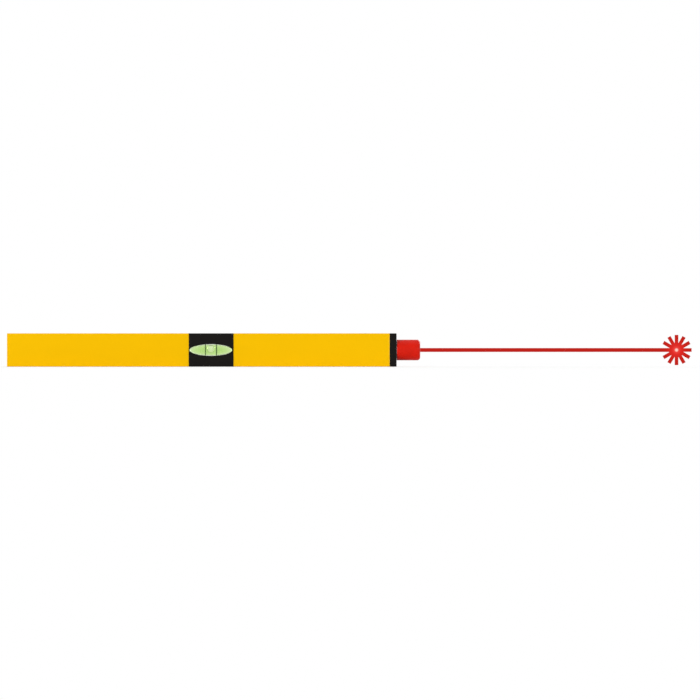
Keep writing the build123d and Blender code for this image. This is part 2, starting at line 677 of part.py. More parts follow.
# Laser head sleeve: fixed in the end cap by its ears, carries the turning head
with BuildPart() as head_sleeve:
    turned(
        [
            (SLEEVE_BACK, SLEEVE_BORE),
            (SLEEVE_BACK, SLEEVE_RADIUS),
            (SLEEVE_FRONT, SLEEVE_RADIUS),
            (SLEEVE_FRONT, SLEEVE_BORE),
            (SHOULDER_FRONT, SLEEVE_BORE),
            (SHOULDER_FRONT, SHOULDER_BORE),
            (SHOULDER_BACK, SHOULDER_BORE),
            (SHOULDER_BACK, SLEEVE_BORE),
        ]
    )
    with BuildSketch(end_view(SPIGOT_BACK)):
        with Locations((0, MID_Z)):
            Circle(SLEEVE_FLANGE_RADIUS)
            RectangleRounded(SLEEVE_EAR_WIDTH, SLEEVE_EAR_HEIGHT, SLEEVE_EAR_WIDTH / 4)
            Circle((SLEEVE_BORE + SLEEVE_RADIUS) / 2, mode=Mode.SUBTRACT)
            with GridLocations(0, 2 * SLEEVE_SCREW_Z, 1, 2):
                Circle(SLEEVE_SCREW_RADIUS + SLIP_GAP, mode=Mode.SUBTRACT)
    extrude(amount=-SLEEVE_FLANGE_THICKNESS)
    for groove_x, half_width, floor in (
        (O_RING_X, O_RING_GROOVE_HALF, O_RING_GROOVE),
        (CLIP_X, CLIP_THICKNESS / 2 + SLIP_GAP, CLIP_INNER - RUN_GAP),
    ):
        groove = ring_outline(groove_x - half_width, groove_x + half_width, floor, HEAD_RADIUS)
        turned(groove, mode=Mode.SUBTRACT)
    with Locations(*radial_places(SLOT_BACK, PIN_ANGLES)):
        Box(
            SLEEVE_FRONT - SLOT_BACK,
            SLOT_WIDTH,
            HEAD_RADIUS,
            align=(Align.MIN, Align.CENTER, Align.MIN),
            mode=Mode.SUBTRACT,
        )
    with Locations(*radial_places(ADJUST_X, ADJUST_ANGLES)):
        Cylinder(ADJUST_RADIUS + RUN_GAP, HEAD_RADIUS, align=FROM_BASE, mode=Mode.SUBTRACT)

sleeve_screws = screw_set(
    [
        Plane(
            origin=(SPIGOT_BACK - SLEEVE_FLANGE_THICKNESS, 0, MID_Z + z), x_dir=(0, 1, 0), z_dir=(-1, 0, 0)
        ).location
        for z in (-SLEEVE_SCREW_Z, SLEEVE_SCREW_Z)
    ],
    SLEEVE_SCREW_RADIUS,
    SLEEVE_SCREW_LENGTH,
    SLEEVE_SCREW_HEAD,
    SLEEVE_SCREW_HEAD_HEIGHT,
    countersunk=False,
)

with BuildPart() as head_o_ring:
    with Locations(Location((O_RING_X, 0, MID_Z), (0, 90, 0))):
        Torus(O_RING_MAJOR, O_RING_MINOR)

# Open clip that holds the head on the sleeve
with BuildPart() as head_retaining_ring:
    with BuildSketch(end_view(CLIP_X - CLIP_THICKNESS / 2)):
        with Locations((0, MID_Z)):
            Circle(CLIP_OUTER)
            Circle(CLIP_INNER, mode=Mode.SUBTRACT)
        with Locations((CLIP_OUTER, MID_Z)):
            Rectangle(CLIP_GAP, CLIP_GAP, mode=Mode.SUBTRACT)
    extrude(amount=CLIP_THICKNESS)

# Cutter for one helical pin groove, centred on the place of a pin
groove_rise = FOCUS_PITCH * 2 * (FOCUS_TURN + GROOVE_SPARE) / 360
with BuildPart() as pin_groove:
    with BuildLine() as groove_path:
        Helix(
            FOCUS_PITCH,
            groove_rise,
            GROOVE_RADIUS,
            center=(PIN_X - groove_rise / 2, 0, MID_Z),
            direction=(1, 0, 0),
        )
    with BuildSketch(Plane(origin=groove_path.line @ 0, x_dir=(1, 0, 0), z_dir=groove_path.line % 0)):
        Rectangle(GROOVE_WIDTH, GROOVE_DEPTH)
    sweep(path=groove_path.line, is_frenet=True)
groove_middle = groove_path.line @ 0.5
groove_angle = degrees(atan2(-groove_middle.Y, groove_middle.Z - MID_Z))

# Red focusing head that turns on the sleeve
with BuildPart() as focus_head:
    turned(
        [
            (HEAD_BACK, HEAD_BORE),
            (HEAD_BACK, HEAD_RADIUS),
            (HEAD_FRONT, HEAD_RADIUS),
            (HEAD_FRONT, HEAD_SEAT),
            (HEAD_SEAT_BACK, HEAD_SEAT),
            (HEAD_SEAT_BACK, HEAD_THROAT),
            (HEAD_BORE_END, HEAD_THROAT),
            (HEAD_BORE_END, HEAD_BORE),
        ]
    )
    outer_rims = focus_head.edges().filter_by(GeomType.CIRCLE).group_by(SortBy.RADIUS)[-1].sort_by(Axis.X)
    fillet(outer_rims[-1], HEAD_NOSE)
    fillet(outer_rims[0], HEAD_BACK_EDGE)
    clip_room = CLIP_THICKNESS / 2 + FIT_GAP
    turned(
        ring_outline(CLIP_X - clip_room, CLIP_X + clip_room, SLEEVE_BORE, HEAD_CLIP_GROOVE),
        mode=Mode.SUBTRACT,
    )
    for pin_angle in PIN_ANGLES:
        add(pin_groove.part.rotate(LASER_AXIS, pin_angle - groove_angle), mode=Mode.SUBTRACT)
    # Straight ways by which the pins enter the grooves
    with Locations(*radial_places(HEAD_BACK, [angle + ENTRY_ANGLE for angle in PIN_ANGLES])):
        Box(
            PIN_X - groove_rise / 2 - HEAD_BACK,
            GROOVE_WIDTH,
            GROOVE_RADIUS + GROOVE_DEPTH / 2,
            align=(Align.MIN, Align.CENTER, Align.MIN),
            mode=Mode.SUBTRACT,
        )
    # Index groove on top, in line with the cap's while the head is at mid-focus
    with Locations((HEAD_BACK, 0, MID_Z + HEAD_RADIUS)):
        Box(2 * INDEX_LENGTH, INDEX_WIDTH, 2 * INDEX_DEPTH, mode=Mode.SUBTRACT)

with BuildPart() as aperture_window:
    turned(ring_outline(HEAD_SEAT_BACK, HEAD_SEAT_BACK + GLASS_THICKNESS, 0, HEAD_SEAT - SLIP_GAP))

# Black ring that holds the window and masks it down to the beam
with BuildPart() as aperture_ring:
    ring_back = HEAD_SEAT_BACK + GLASS_THICKNESS
    turned(
        [
            (ring_back, APERTURE_INNER),
            (ring_back, HEAD_SEAT - RUN_GAP),
            (HEAD_FRONT - APERTURE_DROP, HEAD_SEAT - RUN_GAP),
            (HEAD_FRONT - APERTURE_DROP, APERTURE_MOUTH),
        ]
    )
    # Slots for the spanner that screws the ring in
    with Locations(*radial_places(HEAD_FRONT - APERTURE_DROP, SPANNER_ANGLES)):
        Box(
            2 * SPANNER_SLOT_DEPTH,
            SPANNER_SLOT_WIDTH,
            HEAD_SEAT,
            align=FROM_BASE,
            mode=Mode.SUBTRACT,
        )

# Lens cell with its two pins
with BuildPart() as lens_cell:
    turned(
        [
            (CELL_BACK, CELL_BORE),
            (CELL_BACK, CELL_RADIUS),
            (CELL_FRONT, CELL_RADIUS),
            (CELL_FRONT, LENS_RADIUS + SLIP_GAP),
            (LENS_BACK, LENS_RADIUS + SLIP_GAP),
            (LENS_BACK, CELL_BORE),
        ]
    )
    with Locations(*[place * Pos(0, 0, PIN_INNER) for place in radial_places(PIN_X, PIN_ANGLES)]):
        Cylinder(PIN_RADIUS, PIN_OUTER, align=FROM_BASE, mode=Mode.SUBTRACT)

with BuildPart() as lens_pins:
    with Locations(*[place * Pos(0, 0, PIN_INNER) for place in radial_places(PIN_X, PIN_ANGLES)]):
        Cylinder(PIN_RADIUS, PIN_OUTER - PIN_INNER, align=FROM_BASE)

# Collimating lens, flat behind and convex in front
with BuildPart() as collimator_lens:
    apex = (LENS_APEX, MID_Z)
    rim_z = MID_Z + LENS_RADIUS
    with BuildSketch(Plane.XZ):
        with BuildLine():
            Polyline(apex, (LENS_BACK, MID_Z), (LENS_BACK, rim_z), (LENS_EDGE, rim_z))
            TangentArc(apex, (LENS_EDGE, rim_z), tangent=(0, 1))
        make_face()
    revolve(axis=LASER_AXIS)

with BuildPart() as lens_retainer:
    turned(
        [
            (LENS_EDGE + RUN_GAP, LENS_RADIUS + RUN_GAP),
            (RETAINER_FRONT, LENS_RADIUS + RUN_GAP),
            (RETAINER_FRONT, RETAINER_INNER),
            (RETAINER_SEAT, RETAINER_INNER),
        ]
    )

lens_spring = coil(
    (SHOULDER_FRONT + LENS_SPRING_WIRE + RUN_GAP, 0, MID_Z),
    (1, 0, 0),
    CELL_BACK - SHOULDER_FRONT - 2 * (LENS_SPRING_WIRE + RUN_GAP),
    LENS_SPRING_TURNS,
    LENS_SPRING_WIRE,
    LENS_SPRING_RADIUS,
    LENS_SPRING_RADIUS,
)

# Barrel of the laser diode, tilted a little by four screws about a rubber ring
with BuildPart() as diode_barrel:
    turned(
        [
            (BARREL_BACK, LEAD_BORE),
            (BARREL_BACK, BARREL_RADIUS),
            (BARREL_FRONT, BARREL_RADIUS),
            (BARREL_FRONT, DIODE_BORE),
            (DIODE_SEAT, DIODE_BORE),
            (DIODE_SEAT, LEAD_BORE),
        ]
    )
    with Locations((BARREL_BACK, 0, MID_Z)):
        Box(
            BARREL_SLOT_END - BARREL_BACK,
            BARREL_SLOT_WIDTH,
            2 * BARREL_RADIUS,
            align=(Align.MIN, Align.CENTER, Align.CENTER),
            mode=Mode.SUBTRACT,
        )

with BuildPart() as pivot_ring:
    pivot_front = PIVOT_BACK + PIVOT_LENGTH
    turned(ring_outline(PIVOT_BACK, pivot_front, BARREL_RADIUS + PIVOT_GAP, SLEEVE_BORE - PIVOT_GAP))

# Slotted set screws that press on the barrel
with BuildPart() as alignment_screws:
    with Locations(*[place * Pos(0, 0, ADJUST_INNER) for place in radial_places(ADJUST_X, ADJUST_ANGLES)]):
        Cylinder(ADJUST_RADIUS, ADJUST_OUTER - ADJUST_INNER, align=FROM_BASE)
    with Locations(*[place * Pos(0, 0, ADJUST_OUTER) for place in radial_places(ADJUST_X, ADJUST_ANGLES)]):
        Box(ADJUST_RADIUS / 3, 3 * ADJUST_RADIUS, ADJUST_RADIUS, mode=Mode.SUBTRACT)

# Laser diode: flanged can with a small window and three leads
with BuildPart() as laser_diode:
    can_back = DIODE_SEAT + DIODE_FLANGE_THICKNESS
    turned(
        [
            (DIODE_SEAT, 0),
            (DIODE_SEAT, DIODE_FLANGE),
            (can_back, DIODE_FLANGE),
            (can_back, DIODE_CAN),
            (can_back + DIODE_CAN_LENGTH, DIODE_CAN),
            (can_back + DIODE_CAN_LENGTH, DIODE_WINDOW),
            (can_back + DIODE_CAN_LENGTH - DIODE_WINDOW / 2, 0),
        ]
    )
    with BuildSketch(end_view(DIODE_SEAT)):
        with Locations((0, MID_Z)):
            with PolarLocations(DIODE_LEAD_SPREAD, 3, start_angle=90):
                Circle(DIODE_LEAD)
    extrude(amount=BOARD_FRONT - DIODE_SEAT + SLIP_GAP)

# Driver board on edge behind the diode, with its components
with BuildPart() as driver_board:
    with Locations(((BOARD_BACK + BOARD_FRONT) / 2, 0, MID_Z)):
        Box(BOARD_FRONT - BOARD_BACK, BOARD_THICKNESS, BOARD_HEIGHT)

with BuildPart() as board_components:
    with BuildSketch(front_view(-BOARD_THICKNESS / 2)):
        with Locations((BOARD_BACK + FIRST_PART_X, MID_Z)):
            Rectangle(*CHIP_SIZE)
        with Locations((BOARD_BACK + SECOND_PART_X, MID_Z)):
            with GridLocations(0, RESISTOR_SPACING, 1, 2):
                Rectangle(*RESISTOR_SIZE)
    extrude(amount=CHIP_HEIGHT)
    with BuildSketch(front_view(BOARD_THICKNESS / 2)):
        with Locations((BOARD_BACK + FIRST_PART_X, MID_Z)):
            Circle(CAPACITOR_RADIUS)
        with Locations((BOARD_BACK + SECOND_PART_X, MID_Z)):
            Rectangle(TRIMMER_SIZE, TRIMMER_SIZE)
    extrude(amount=-CAPACITOR_HEIGHT)

# Battery tray with a frame on the rear wall
frame_screw_spots = [(-FRAME_SCREW_X, 0), (FRAME_SCREW_X, 0)]
with BuildPart() as battery_frame:
    tray_back = TRAY_FLOOR - TRAY_FLOOR_THICKNESS
    with BuildSketch(front_view(FRAME_FACE)):
        with Locations((BATTERY_X, MID_Z)):
            RectangleRounded(FRAME_LENGTH, FRAME_HEIGHT, 3 * FRAME_EDGE)
    extrude(amount=FRAME_THICKNESS)
    chamfer(battery_frame.faces().sort_by(Axis.Y)[-1].edges(), FRAME_EDGE)
    with BuildSketch(front_view(REAR)):
        with Locations((BATTERY_X, MID_Z)):
            Rectangle(tray_length, tray_height)
    extrude(amount=REAR - tray_back)
    with BuildSketch(front_view(FRAME_FACE)):
        with Locations((BATTERY_X, MID_Z)):
            Rectangle(TRAY_POCKET_LENGTH, TRAY_POCKET_HEIGHT)
    extrude(amount=FRAME_FACE - TRAY_FLOOR, mode=Mode.SUBTRACT)
    with BuildSketch(front_view(FRAME_FACE)):
        with Locations((BATTERY_X, MID_Z + (DOOR_RECESS_TOP + DOOR_RECESS_BOTTOM) / 2)):
            Rectangle(DOOR_RECESS_LENGTH, DOOR_RECESS_TOP - DOOR_RECESS_BOTTOM)
    extrude(amount=DOOR_THICKNESS + FIT_GAP, mode=Mode.SUBTRACT)
    with Locations((BATTERY_X, FRAME_FACE, MID_Z + DOOR_RECESS_BOTTOM)):
        Box(NAIL_NOTCH_LENGTH, 2 * NAIL_NOTCH_DEPTH, 2 * NAIL_NOTCH_HEIGHT, mode=Mode.SUBTRACT)
    with BuildSketch(end_view(BATTERY_X)):
        with Locations((DOOR_AXIS_Y, MID_Z + DOOR_AXIS_Z)):
            Circle(DOOR_PIN_RADIUS + RUN_GAP)
    extrude(amount=DOOR_PIN_LENGTH / 2 + SLIP_GAP, both=True, mode=Mode.SUBTRACT)
    with BuildSketch(end_view(BATTERY_X)):
        with Locations((TAG_Y, MID_Z)):
            with GridLocations(0, 2 * CELL_Z, 1, 2):
                Rectangle(CONTACT_THICKNESS + 2 * SLIP_GAP, TAG_WIDTH + 2 * SLIP_GAP)
    extrude(amount=tray_length, mode=Mode.SUBTRACT)
    with Locations(*rearward_places(BATTERY_X, FRAME_FACE, frame_screw_spots)):
        CounterSinkHole(FRAME_SCREW_RADIUS + SLIP_GAP, FRAME_SCREW_HEAD + SLIP_GAP, depth=FRAME_THICKNESS)

frame_screw_seat = FRAME_FACE - FRAME_SCREW_HEAD_HEIGHT - SLIP_GAP
frame_screws = screw_set(
    rearward_places(BATTERY_X, frame_screw_seat, frame_screw_spots),
    FRAME_SCREW_RADIUS,
    FRAME_SCREW_LENGTH,
    FRAME_SCREW_HEAD,
    FRAME_SCREW_HEAD_HEIGHT,
    countersunk=True,
)

# Battery door, hinged along its upper edge
with BuildPart() as battery_door:
    door_start = BATTERY_X - DOOR_RECESS_LENGTH / 2 + FIT_GAP
    with BuildSketch(end_view(door_start)):
        with Locations((DOOR_AXIS_Y, MID_Z + (DOOR_AXIS_Z + DOOR_BOTTOM) / 2)):
            Rectangle(DOOR_THICKNESS, DOOR_AXIS_Z - DOOR_BOTTOM)
        with Locations((DOOR_AXIS_Y, MID_Z + DOOR_AXIS_Z)):
            Circle(DOOR_THICKNESS / 2)
            Circle(DOOR_PIN_RADIUS + RUN_GAP, mode=Mode.SUBTRACT)
    extrude(amount=DOOR_RECESS_LENGTH - 2 * FIT_GAP)
    with Locations((BATTERY_X, FRAME_FACE, MID_Z + DOOR_BOTTOM + 2 * GRIP_PITCH)):
        with Locations(*[(0, 0, step * GRIP_PITCH) for step in (-1, 0, 1)]):
            Box(GRIP_LENGTH, 2 * GRIP_DEPTH, GRIP_WIDTH, mode=Mode.SUBTRACT)

with BuildPart() as door_pin:
    with BuildSketch(end_view(BATTERY_X)):
        with Locations((DOOR_AXIS_Y, MID_Z + DOOR_AXIS_Z)):
            Circle(DOOR_PIN_RADIUS)
    extrude(amount=DOOR_PIN_LENGTH / 2, both=True)

# Two cells side by side, the upper one pointing right and the lower one left
tray_end = TRAY_POCKET_LENGTH / 2
nub_end = tray_end - CONTACT_THICKNESS - CONTACT_GAP
with BuildPart() as battery_cells:
    for way in (-1, 1):
        nub_tip = (BATTERY_X + way * nub_end, CELL_Y, MID_Z + way * CELL_Z)
        cell_plane = Plane(origin=nub_tip, x_dir=(0, 1, 0), z_dir=(-way, 0, 0))
        with BuildSketch(cell_plane):
            Circle(CELL_NUB_RADIUS)
        extrude(amount=CELL_NUB_LENGTH)
        with BuildSketch(cell_plane.offset(CELL_NUB_LENGTH)):
            Circle(CELL_DIAMETER / 2)
        extrude(amount=CELL_LENGTH - CELL_NUB_LENGTH)
    cell_rims = battery_cells.edges().filter_by(GeomType.CIRCLE).group_by(SortBy.RADIUS)[-1]
    fillet(cell_rims, CELL_EDGE)

# Sheet-metal contacts at the ends of the tray
with BuildPart() as contact_bridge:
    with Locations((BATTERY_X - tray_end + CONTACT_THICKNESS / 2, CELL_Y, MID_Z)):
        Box(CONTACT_THICKNESS, CONTACT_SIZE[0], BRIDGE_HEIGHT)


def end_contact(z):
    """Single contact at the right end of the tray with a solder tag through the tray's wall."""
    with BuildPart() as contact:
        with Locations((BATTERY_X + tray_end - CONTACT_THICKNESS / 2, CELL_Y, z)):
            Box(CONTACT_THICKNESS, CONTACT_SIZE[0], CONTACT_SIZE[1])
        with Locations((BATTERY_X + tray_end - CONTACT_THICKNESS, TAG_Y, z)):
            Box(
                TAG_REACH - tray_end + CONTACT_THICKNESS,
                CONTACT_THICKNESS,
                TAG_WIDTH,
                align=(Align.MIN, Align.CENTER, Align.CENTER),
            )
    return contact


contact_positive = end_contact(MID_Z + CELL_Z)
contact_negative = end_contact(MID_Z - CELL_Z)

# Conical springs behind the flat ends of the cells
spring_room = TRAY_POCKET_LENGTH - CELL_LENGTH - 2 * CONTACT_THICKNESS - CONTACT_GAP
spring_coils = [
    coil(
        (
            BATTERY_X - way * (tray_end - CONTACT_THICKNESS - SPRING_WIRE - CONTACT_GAP),
            CELL_Y,
            MID_Z + way * CELL_Z,
        ),
        (way, 0, 0),
        spring_room - 2 * (SPRING_WIRE + CONTACT_GAP),
        SPRING_TURNS,
        SPRING_WIRE,
        SPRING_WIDE,
        SPRING_NARROW,
    )
    for way in (-1, 1)
]
with BuildPart() as battery_springs:
    for spring_coil in spring_coils:
        add(spring_coil.part)


def switch_disc(start, end, radius, mode=Mode.ADD):
    """Round step of the switch between two depths."""
    with BuildSketch(front_view(end)) as disc:
        with Locations((SWITCH_X, MID_Z)):
            Circle(radius)
    extrude(disc.sketch, amount=end - start, mode=mode)


# Switch bezel through the rear wall, with its nut inside
with BuildPart() as switch_bezel:
    switch_disc(REAR, BEZEL_FACE, BEZEL_RADIUS)
    chamfer(switch_bezel.faces().sort_by(Axis.Y)[-1].edges(), FRAME_EDGE)
    switch_disc(BEZEL_BACK, REAR, BEZEL_SLEEVE)
    switch_disc(BEZEL_BACK, BEZEL_LIP_BACK, BEZEL_SLEEVE_BORE, mode=Mode.SUBTRACT)
    switch_disc(BEZEL_LIP_BACK, BEZEL_FACE, BEZEL_LIP, mode=Mode.SUBTRACT)

with BuildPart() as switch_nut:
    with BuildSketch(front_view(REAR - SIDE_WALL)):
        with Locations((SWITCH_X, MID_Z)):
            RegularPolygon(NUT_ACROSS_FLATS / 2, 6, major_radius=False)
            Circle(BEZEL_SLEEVE + RUN_GAP, mode=Mode.SUBTRACT)
    extrude(amount=NUT_THICKNESS)

# Button with a dished face, a skirt that stays behind the bezel's lip and a stem into the switch
with BuildPart() as power_button:
    switch_disc(SKIRT_BOTTOM, BUTTON_FACE, BUTTON_RADIUS)
    fillet(power_button.faces().sort_by(Axis.Y)[-1].edges(), BUTTON_EDGE)
    # Shallow dish for the fingertip
    with Locations((SWITCH_X, BUTTON_FACE + BUTTON_DISH_RADIUS - BUTTON_DISH_DEPTH, MID_Z)):
        Sphere(BUTTON_DISH_RADIUS, mode=Mode.SUBTRACT)
    switch_disc(SKIRT_BOTTOM, SKIRT_TOP, SKIRT_RADIUS)
    switch_disc(STEM_BOTTOM, SKIRT_BOTTOM, STEM_RADIUS)

with BuildPart() as switch_body:
    with BuildSketch(front_view(BEZEL_BACK)):
        with Locations((SWITCH_X, MID_Z)):
            Rectangle(SWITCH_SIZE, SWITCH_SIZE)
    extrude(amount=BEZEL_BACK - SWITCH_BACK)
    switch_disc(SWITCH_WELL_BOTTOM, BEZEL_BACK, SWITCH_WELL, mode=Mode.SUBTRACT)
    with BuildSketch(front_view(SWITCH_BACK)):
        with Locations((SWITCH_X, MID_Z)):
            with GridLocations(2 * TERMINAL_X, 0, 2, 1):
                Rectangle(TERMINAL_SIZE[1], TERMINAL_SIZE[0])
    extrude(amount=SWITCH_BACK - TERMINAL_END)

button_spring = coil(
    (SWITCH_X, BEZEL_BACK + BUTTON_SPRING_WIRE + RUN_GAP, MID_Z),
    (0, 1, 0),
    SKIRT_BOTTOM - BEZEL_BACK - 2 * (BUTTON_SPRING_WIRE + RUN_GAP),
    BUTTON_SPRING_TURNS,
    BUTTON_SPRING_WIRE,
    BUTTON_SPRING_RADIUS,
    BUTTON_SPRING_RADIUS,
)

# Wires: battery to switch, battery to board, switch to board. Each leaves its tag, terminal or
# board edge straight for WIRE_EXIT before it bends.
tag_end = BATTERY_X + TAG_REACH + WIRE_GAP
board_end = BOARD_BACK - WIRE_GAP
terminal_tip = TERMINAL_END - WIRE_GAP
first_terminal = SWITCH_X - TERMINAL_X
second_terminal = SWITCH_X + TERMINAL_X
lead_red = wire_lead(
    [
        (tag_end, TAG_Y, MID_Z + CELL_Z),
        (tag_end + WIRE_EXIT, TAG_Y, MID_Z + CELL_Z),
        (first_terminal - WIRE_SWEEP, terminal_tip - WIRE_EXIT, MID_Z + BOARD_WIRE_Z / 2),
        (first_terminal, terminal_tip - WIRE_EXIT, MID_Z),
        (first_terminal, terminal_tip, MID_Z),
    ],
    WIRE_BEND,
)
lead_black = wire_lead(
    [
        (tag_end, TAG_Y, MID_Z - CELL_Z),
        (tag_end + WIRE_EXIT, TAG_Y, MID_Z - CELL_Z),
        (SWITCH_X - WIRE_SWEEP, WIRE_RADIUS, MID_Z - LOW_WIRE_Z),
        (SWITCH_X + WIRE_SWEEP, -WIRE_RADIUS, MID_Z - LOW_WIRE_Z),
        (board_end - WIRE_EXIT, 0, MID_Z - BOARD_WIRE_Z),
        (board_end, 0, MID_Z - BOARD_WIRE_Z),
    ],
    WIRE_BEND,
)
lead_switch = wire_lead(
    [
        (second_terminal, terminal_tip, MID_Z),
        (second_terminal, terminal_tip - WIRE_EXIT, MID_Z),
        (second_terminal + WIRE_SWEEP, terminal_tip - WIRE_EXIT, MID_Z + BOARD_WIRE_Z / 2),
        (board_end - WIRE_EXIT, 0, MID_Z + BOARD_WIRE_Z),
        (board_end, 0, MID_Z + BOARD_WIRE_Z),
    ],
    WIRE_BEND,
)

pieces = {
    "body_profile": body_profile,
    "left_end_plug": left_end_plug,
    "cap_gasket": cap_gasket,
    "right_end_cap": right_end_cap,
    "cap_screws": cap_screws,
    "tripod_insert": tripod_insert,
    "front_vial_shell": front_vial_shell,
    "rear_vial_shell": rear_vial_shell,
    "vial_screws": vial_screws,
    "vial_front_half": vial_front_half,
    "vial_rear_half": vial_rear_half,
    "vial_fluid": vial_fluid,
    "vial_bubble": vial_bubble,
    "reading_lines": reading_lines,
    "top_window": top_window,
    "head_sleeve": head_sleeve,
    "sleeve_screws": sleeve_screws,
    "head_o_ring": head_o_ring,
    "head_retaining_ring": head_retaining_ring,
    "focus_head": focus_head,
    "aperture_window": aperture_window,
    "aperture_ring": aperture_ring,
    "lens_cell": lens_cell,
    "lens_pins": lens_pins,
    "collimator_lens": collimator_lens,
    "lens_retainer": lens_retainer,
    "lens_spring": lens_spring,
    "diode_barrel": diode_barrel,
    "pivot_ring": pivot_ring,
    "alignment_screws": alignment_screws,
    "laser_diode": laser_diode,
    "driver_board": driver_board,
    "board_components": board_components,
    "battery_frame": battery_frame,
    "frame_screws": frame_screws,
    "battery_door": battery_door,
    "door_pin": door_pin,
    "battery_cells": battery_cells,
    "contact_bridge": contact_bridge,
    "contact_positive": contact_positive,
    "contact_negative": contact_negative,
    "battery_springs": battery_springs,
    "switch_bezel": switch_bezel,
    "switch_nut": switch_nut,
    "power_button": power_button,
    "switch_body": switch_body,
    "button_spring": button_spring,
    "lead_red": lead_red,
    "lead_black": lead_black,
    "lead_switch": lead_switch,
}
for name, piece in pieces.items():
    piece.part.label = name
    export_step(piece.part, f"parts/{name}.step")
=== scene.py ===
import json
import math

import bpy
import numpy as np
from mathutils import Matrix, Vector


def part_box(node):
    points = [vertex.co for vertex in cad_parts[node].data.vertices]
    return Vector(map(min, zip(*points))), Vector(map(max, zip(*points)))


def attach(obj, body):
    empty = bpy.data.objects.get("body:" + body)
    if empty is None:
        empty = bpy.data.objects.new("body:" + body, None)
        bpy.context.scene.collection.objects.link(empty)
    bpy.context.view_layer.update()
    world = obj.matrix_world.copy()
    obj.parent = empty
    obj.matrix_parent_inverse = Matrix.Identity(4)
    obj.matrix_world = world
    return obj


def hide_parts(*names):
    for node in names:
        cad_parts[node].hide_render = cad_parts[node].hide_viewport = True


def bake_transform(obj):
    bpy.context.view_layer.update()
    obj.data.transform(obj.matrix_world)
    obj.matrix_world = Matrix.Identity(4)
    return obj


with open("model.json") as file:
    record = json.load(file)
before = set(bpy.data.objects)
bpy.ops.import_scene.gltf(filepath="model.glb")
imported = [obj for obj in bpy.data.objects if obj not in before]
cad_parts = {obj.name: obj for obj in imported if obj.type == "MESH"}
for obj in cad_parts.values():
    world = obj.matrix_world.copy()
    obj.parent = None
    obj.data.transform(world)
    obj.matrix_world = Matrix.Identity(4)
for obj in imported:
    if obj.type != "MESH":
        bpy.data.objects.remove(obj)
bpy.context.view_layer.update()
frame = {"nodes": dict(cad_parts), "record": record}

# The looks of a laser spirit level: a yellow bar with a green vial in a black block, a black end cap and
# a red laser head. Metres, in the frame of the solids: +X along the bar, -Y to the front and +Z up.
MM = 0.001

# The picture: its scale, the point of the object at its centre, and a long lens for a flat side view.
PICTURE_PIXELS = 700
MM_PER_PIXEL = 1.5395
PICTURE_CENTRE_X = 228.2 * MM
LENS = 300.0
SENSOR = 36.0

# Colours, as the light that they give back or let through.
YELLOW = (0.93, 0.525, 0.0012)
COAT_SHEEN = (1.0, 0.85, 0.10)
BLACK = (0.0046, 0.0032, 0.0021)
RED = (0.75, 0.0145, 0.0045)
INK = (0.11, 0.21, 0.045)
MARK_WHITE = (0.80, 0.80, 0.76)
LINING_PAINT = (0.72, 0.76, 0.62)
RUBBER = (0.006, 0.006, 0.006)
RUBBER_BLOOM = (0.014, 0.0135, 0.013)
BOARD_GREEN = (0.01, 0.12, 0.035)
COMPONENT_BLACK = (0.01, 0.01, 0.011)
JACKET_GREY = (0.16, 0.19, 0.21)
JACKET_BAND = (0.62, 0.64, 0.62)
WIRE_RED = (0.5, 0.012, 0.01)
WIRE_BLACK = (0.01, 0.01, 0.01)
WIRE_YELLOW = (0.7, 0.4, 0.02)
STEEL = (0.50, 0.51, 0.53)
BRASS = (0.80, 0.58, 0.25)
ALUMINIUM = (0.72, 0.73, 0.75)
NICKEL = (0.62, 0.59, 0.54)
ACRYLIC_CAST = ((0.74, 0.85, 0.57), (0.77, 0.88, 0.62))
GLASS_CAST = ((0.95, 0.86, 0.90), (0.97, 0.90, 0.93))
LIQUID_CLEAR = (0.56, 0.785, 0.29)
RUBBED_YELLOW = (0.95, 0.66, 0.16)
RUBBED_BLACK = (0.022, 0.021, 0.020)
# Painted shade: the black laid into the hollows of moulded grain.
PAINTED_HOLLOW_SHADE = (0.0, 0.0, 0.0)

# The bar's powder coat: its clouds of colour and of roughness, the die lines of the extrusion under it
# and its own orange peel. A stretch says how far a pattern is drawn out along X, Y and Z.
COAT_SPECULAR = 0.14
COAT_CLOUD = 70.0 * MM
COAT_CLOUD_STRETCH = (3.0, 1.0, 1.0)
COAT_SHADES = (0.97, 1.02)
COAT_PATCH = 18.0 * MM
COAT_ROUGHNESS = (0.33, 0.42)
DIE_LINE_WIDTH = 0.9 * MM
DIE_LINE_STRETCH = (150.0, 1.0, 1.0)
DIE_LINE_DEPTH = 0.006 * MM
PEEL_WIDTH = 1.1 * MM
PEEL_DEPTH = 0.035 * MM

# Moulded pieces: colour, roughness from and to, width and depth of the mould's grain, specular level.
MOULDED = {
    "moulded_black": (BLACK, (0.42, 0.56), 0.35 * MM, 0.03 * MM, 0.09),
    "line_ink": (INK, (0.50, 0.60), 0.20 * MM, 0.002 * MM, 0.2),
    "signal_red": (RED, (0.28, 0.40), 0.45 * MM, 0.008 * MM, 0.08),
    "board_green": (BOARD_GREEN, (0.30, 0.40), 0.50 * MM, 0.01 * MM, 0.4),
    "component_black": (COMPONENT_BLACK, (0.40, 0.55), 0.20 * MM, 0.006 * MM, 0.4),
    "cell_wrap": (JACKET_GREY, (0.25, 0.35), 0.80 * MM, 0.01 * MM, 0.5),
    "wire_red": (WIRE_RED, (0.40, 0.50), 0.30 * MM, 0.004 * MM, 0.4),
    "wire_black": (WIRE_BLACK, (0.40, 0.50), 0.30 * MM, 0.004 * MM, 0.4),
    "wire_yellow": (WIRE_YELLOW, (0.40, 0.50), 0.30 * MM, 0.004 * MM, 0.4),
}

# Their clouds of colour, the patches that hands leave, and the painted shade in the grain's hollows, whose
# share of black is this times the grain's depth over its width.
MOULD_CLOUD = 22.0 * MM
MOULD_SHADES = (0.9, 1.1)
HAND_PATCH = 9.0 * MM
HOLLOW_SHADE = 7.0

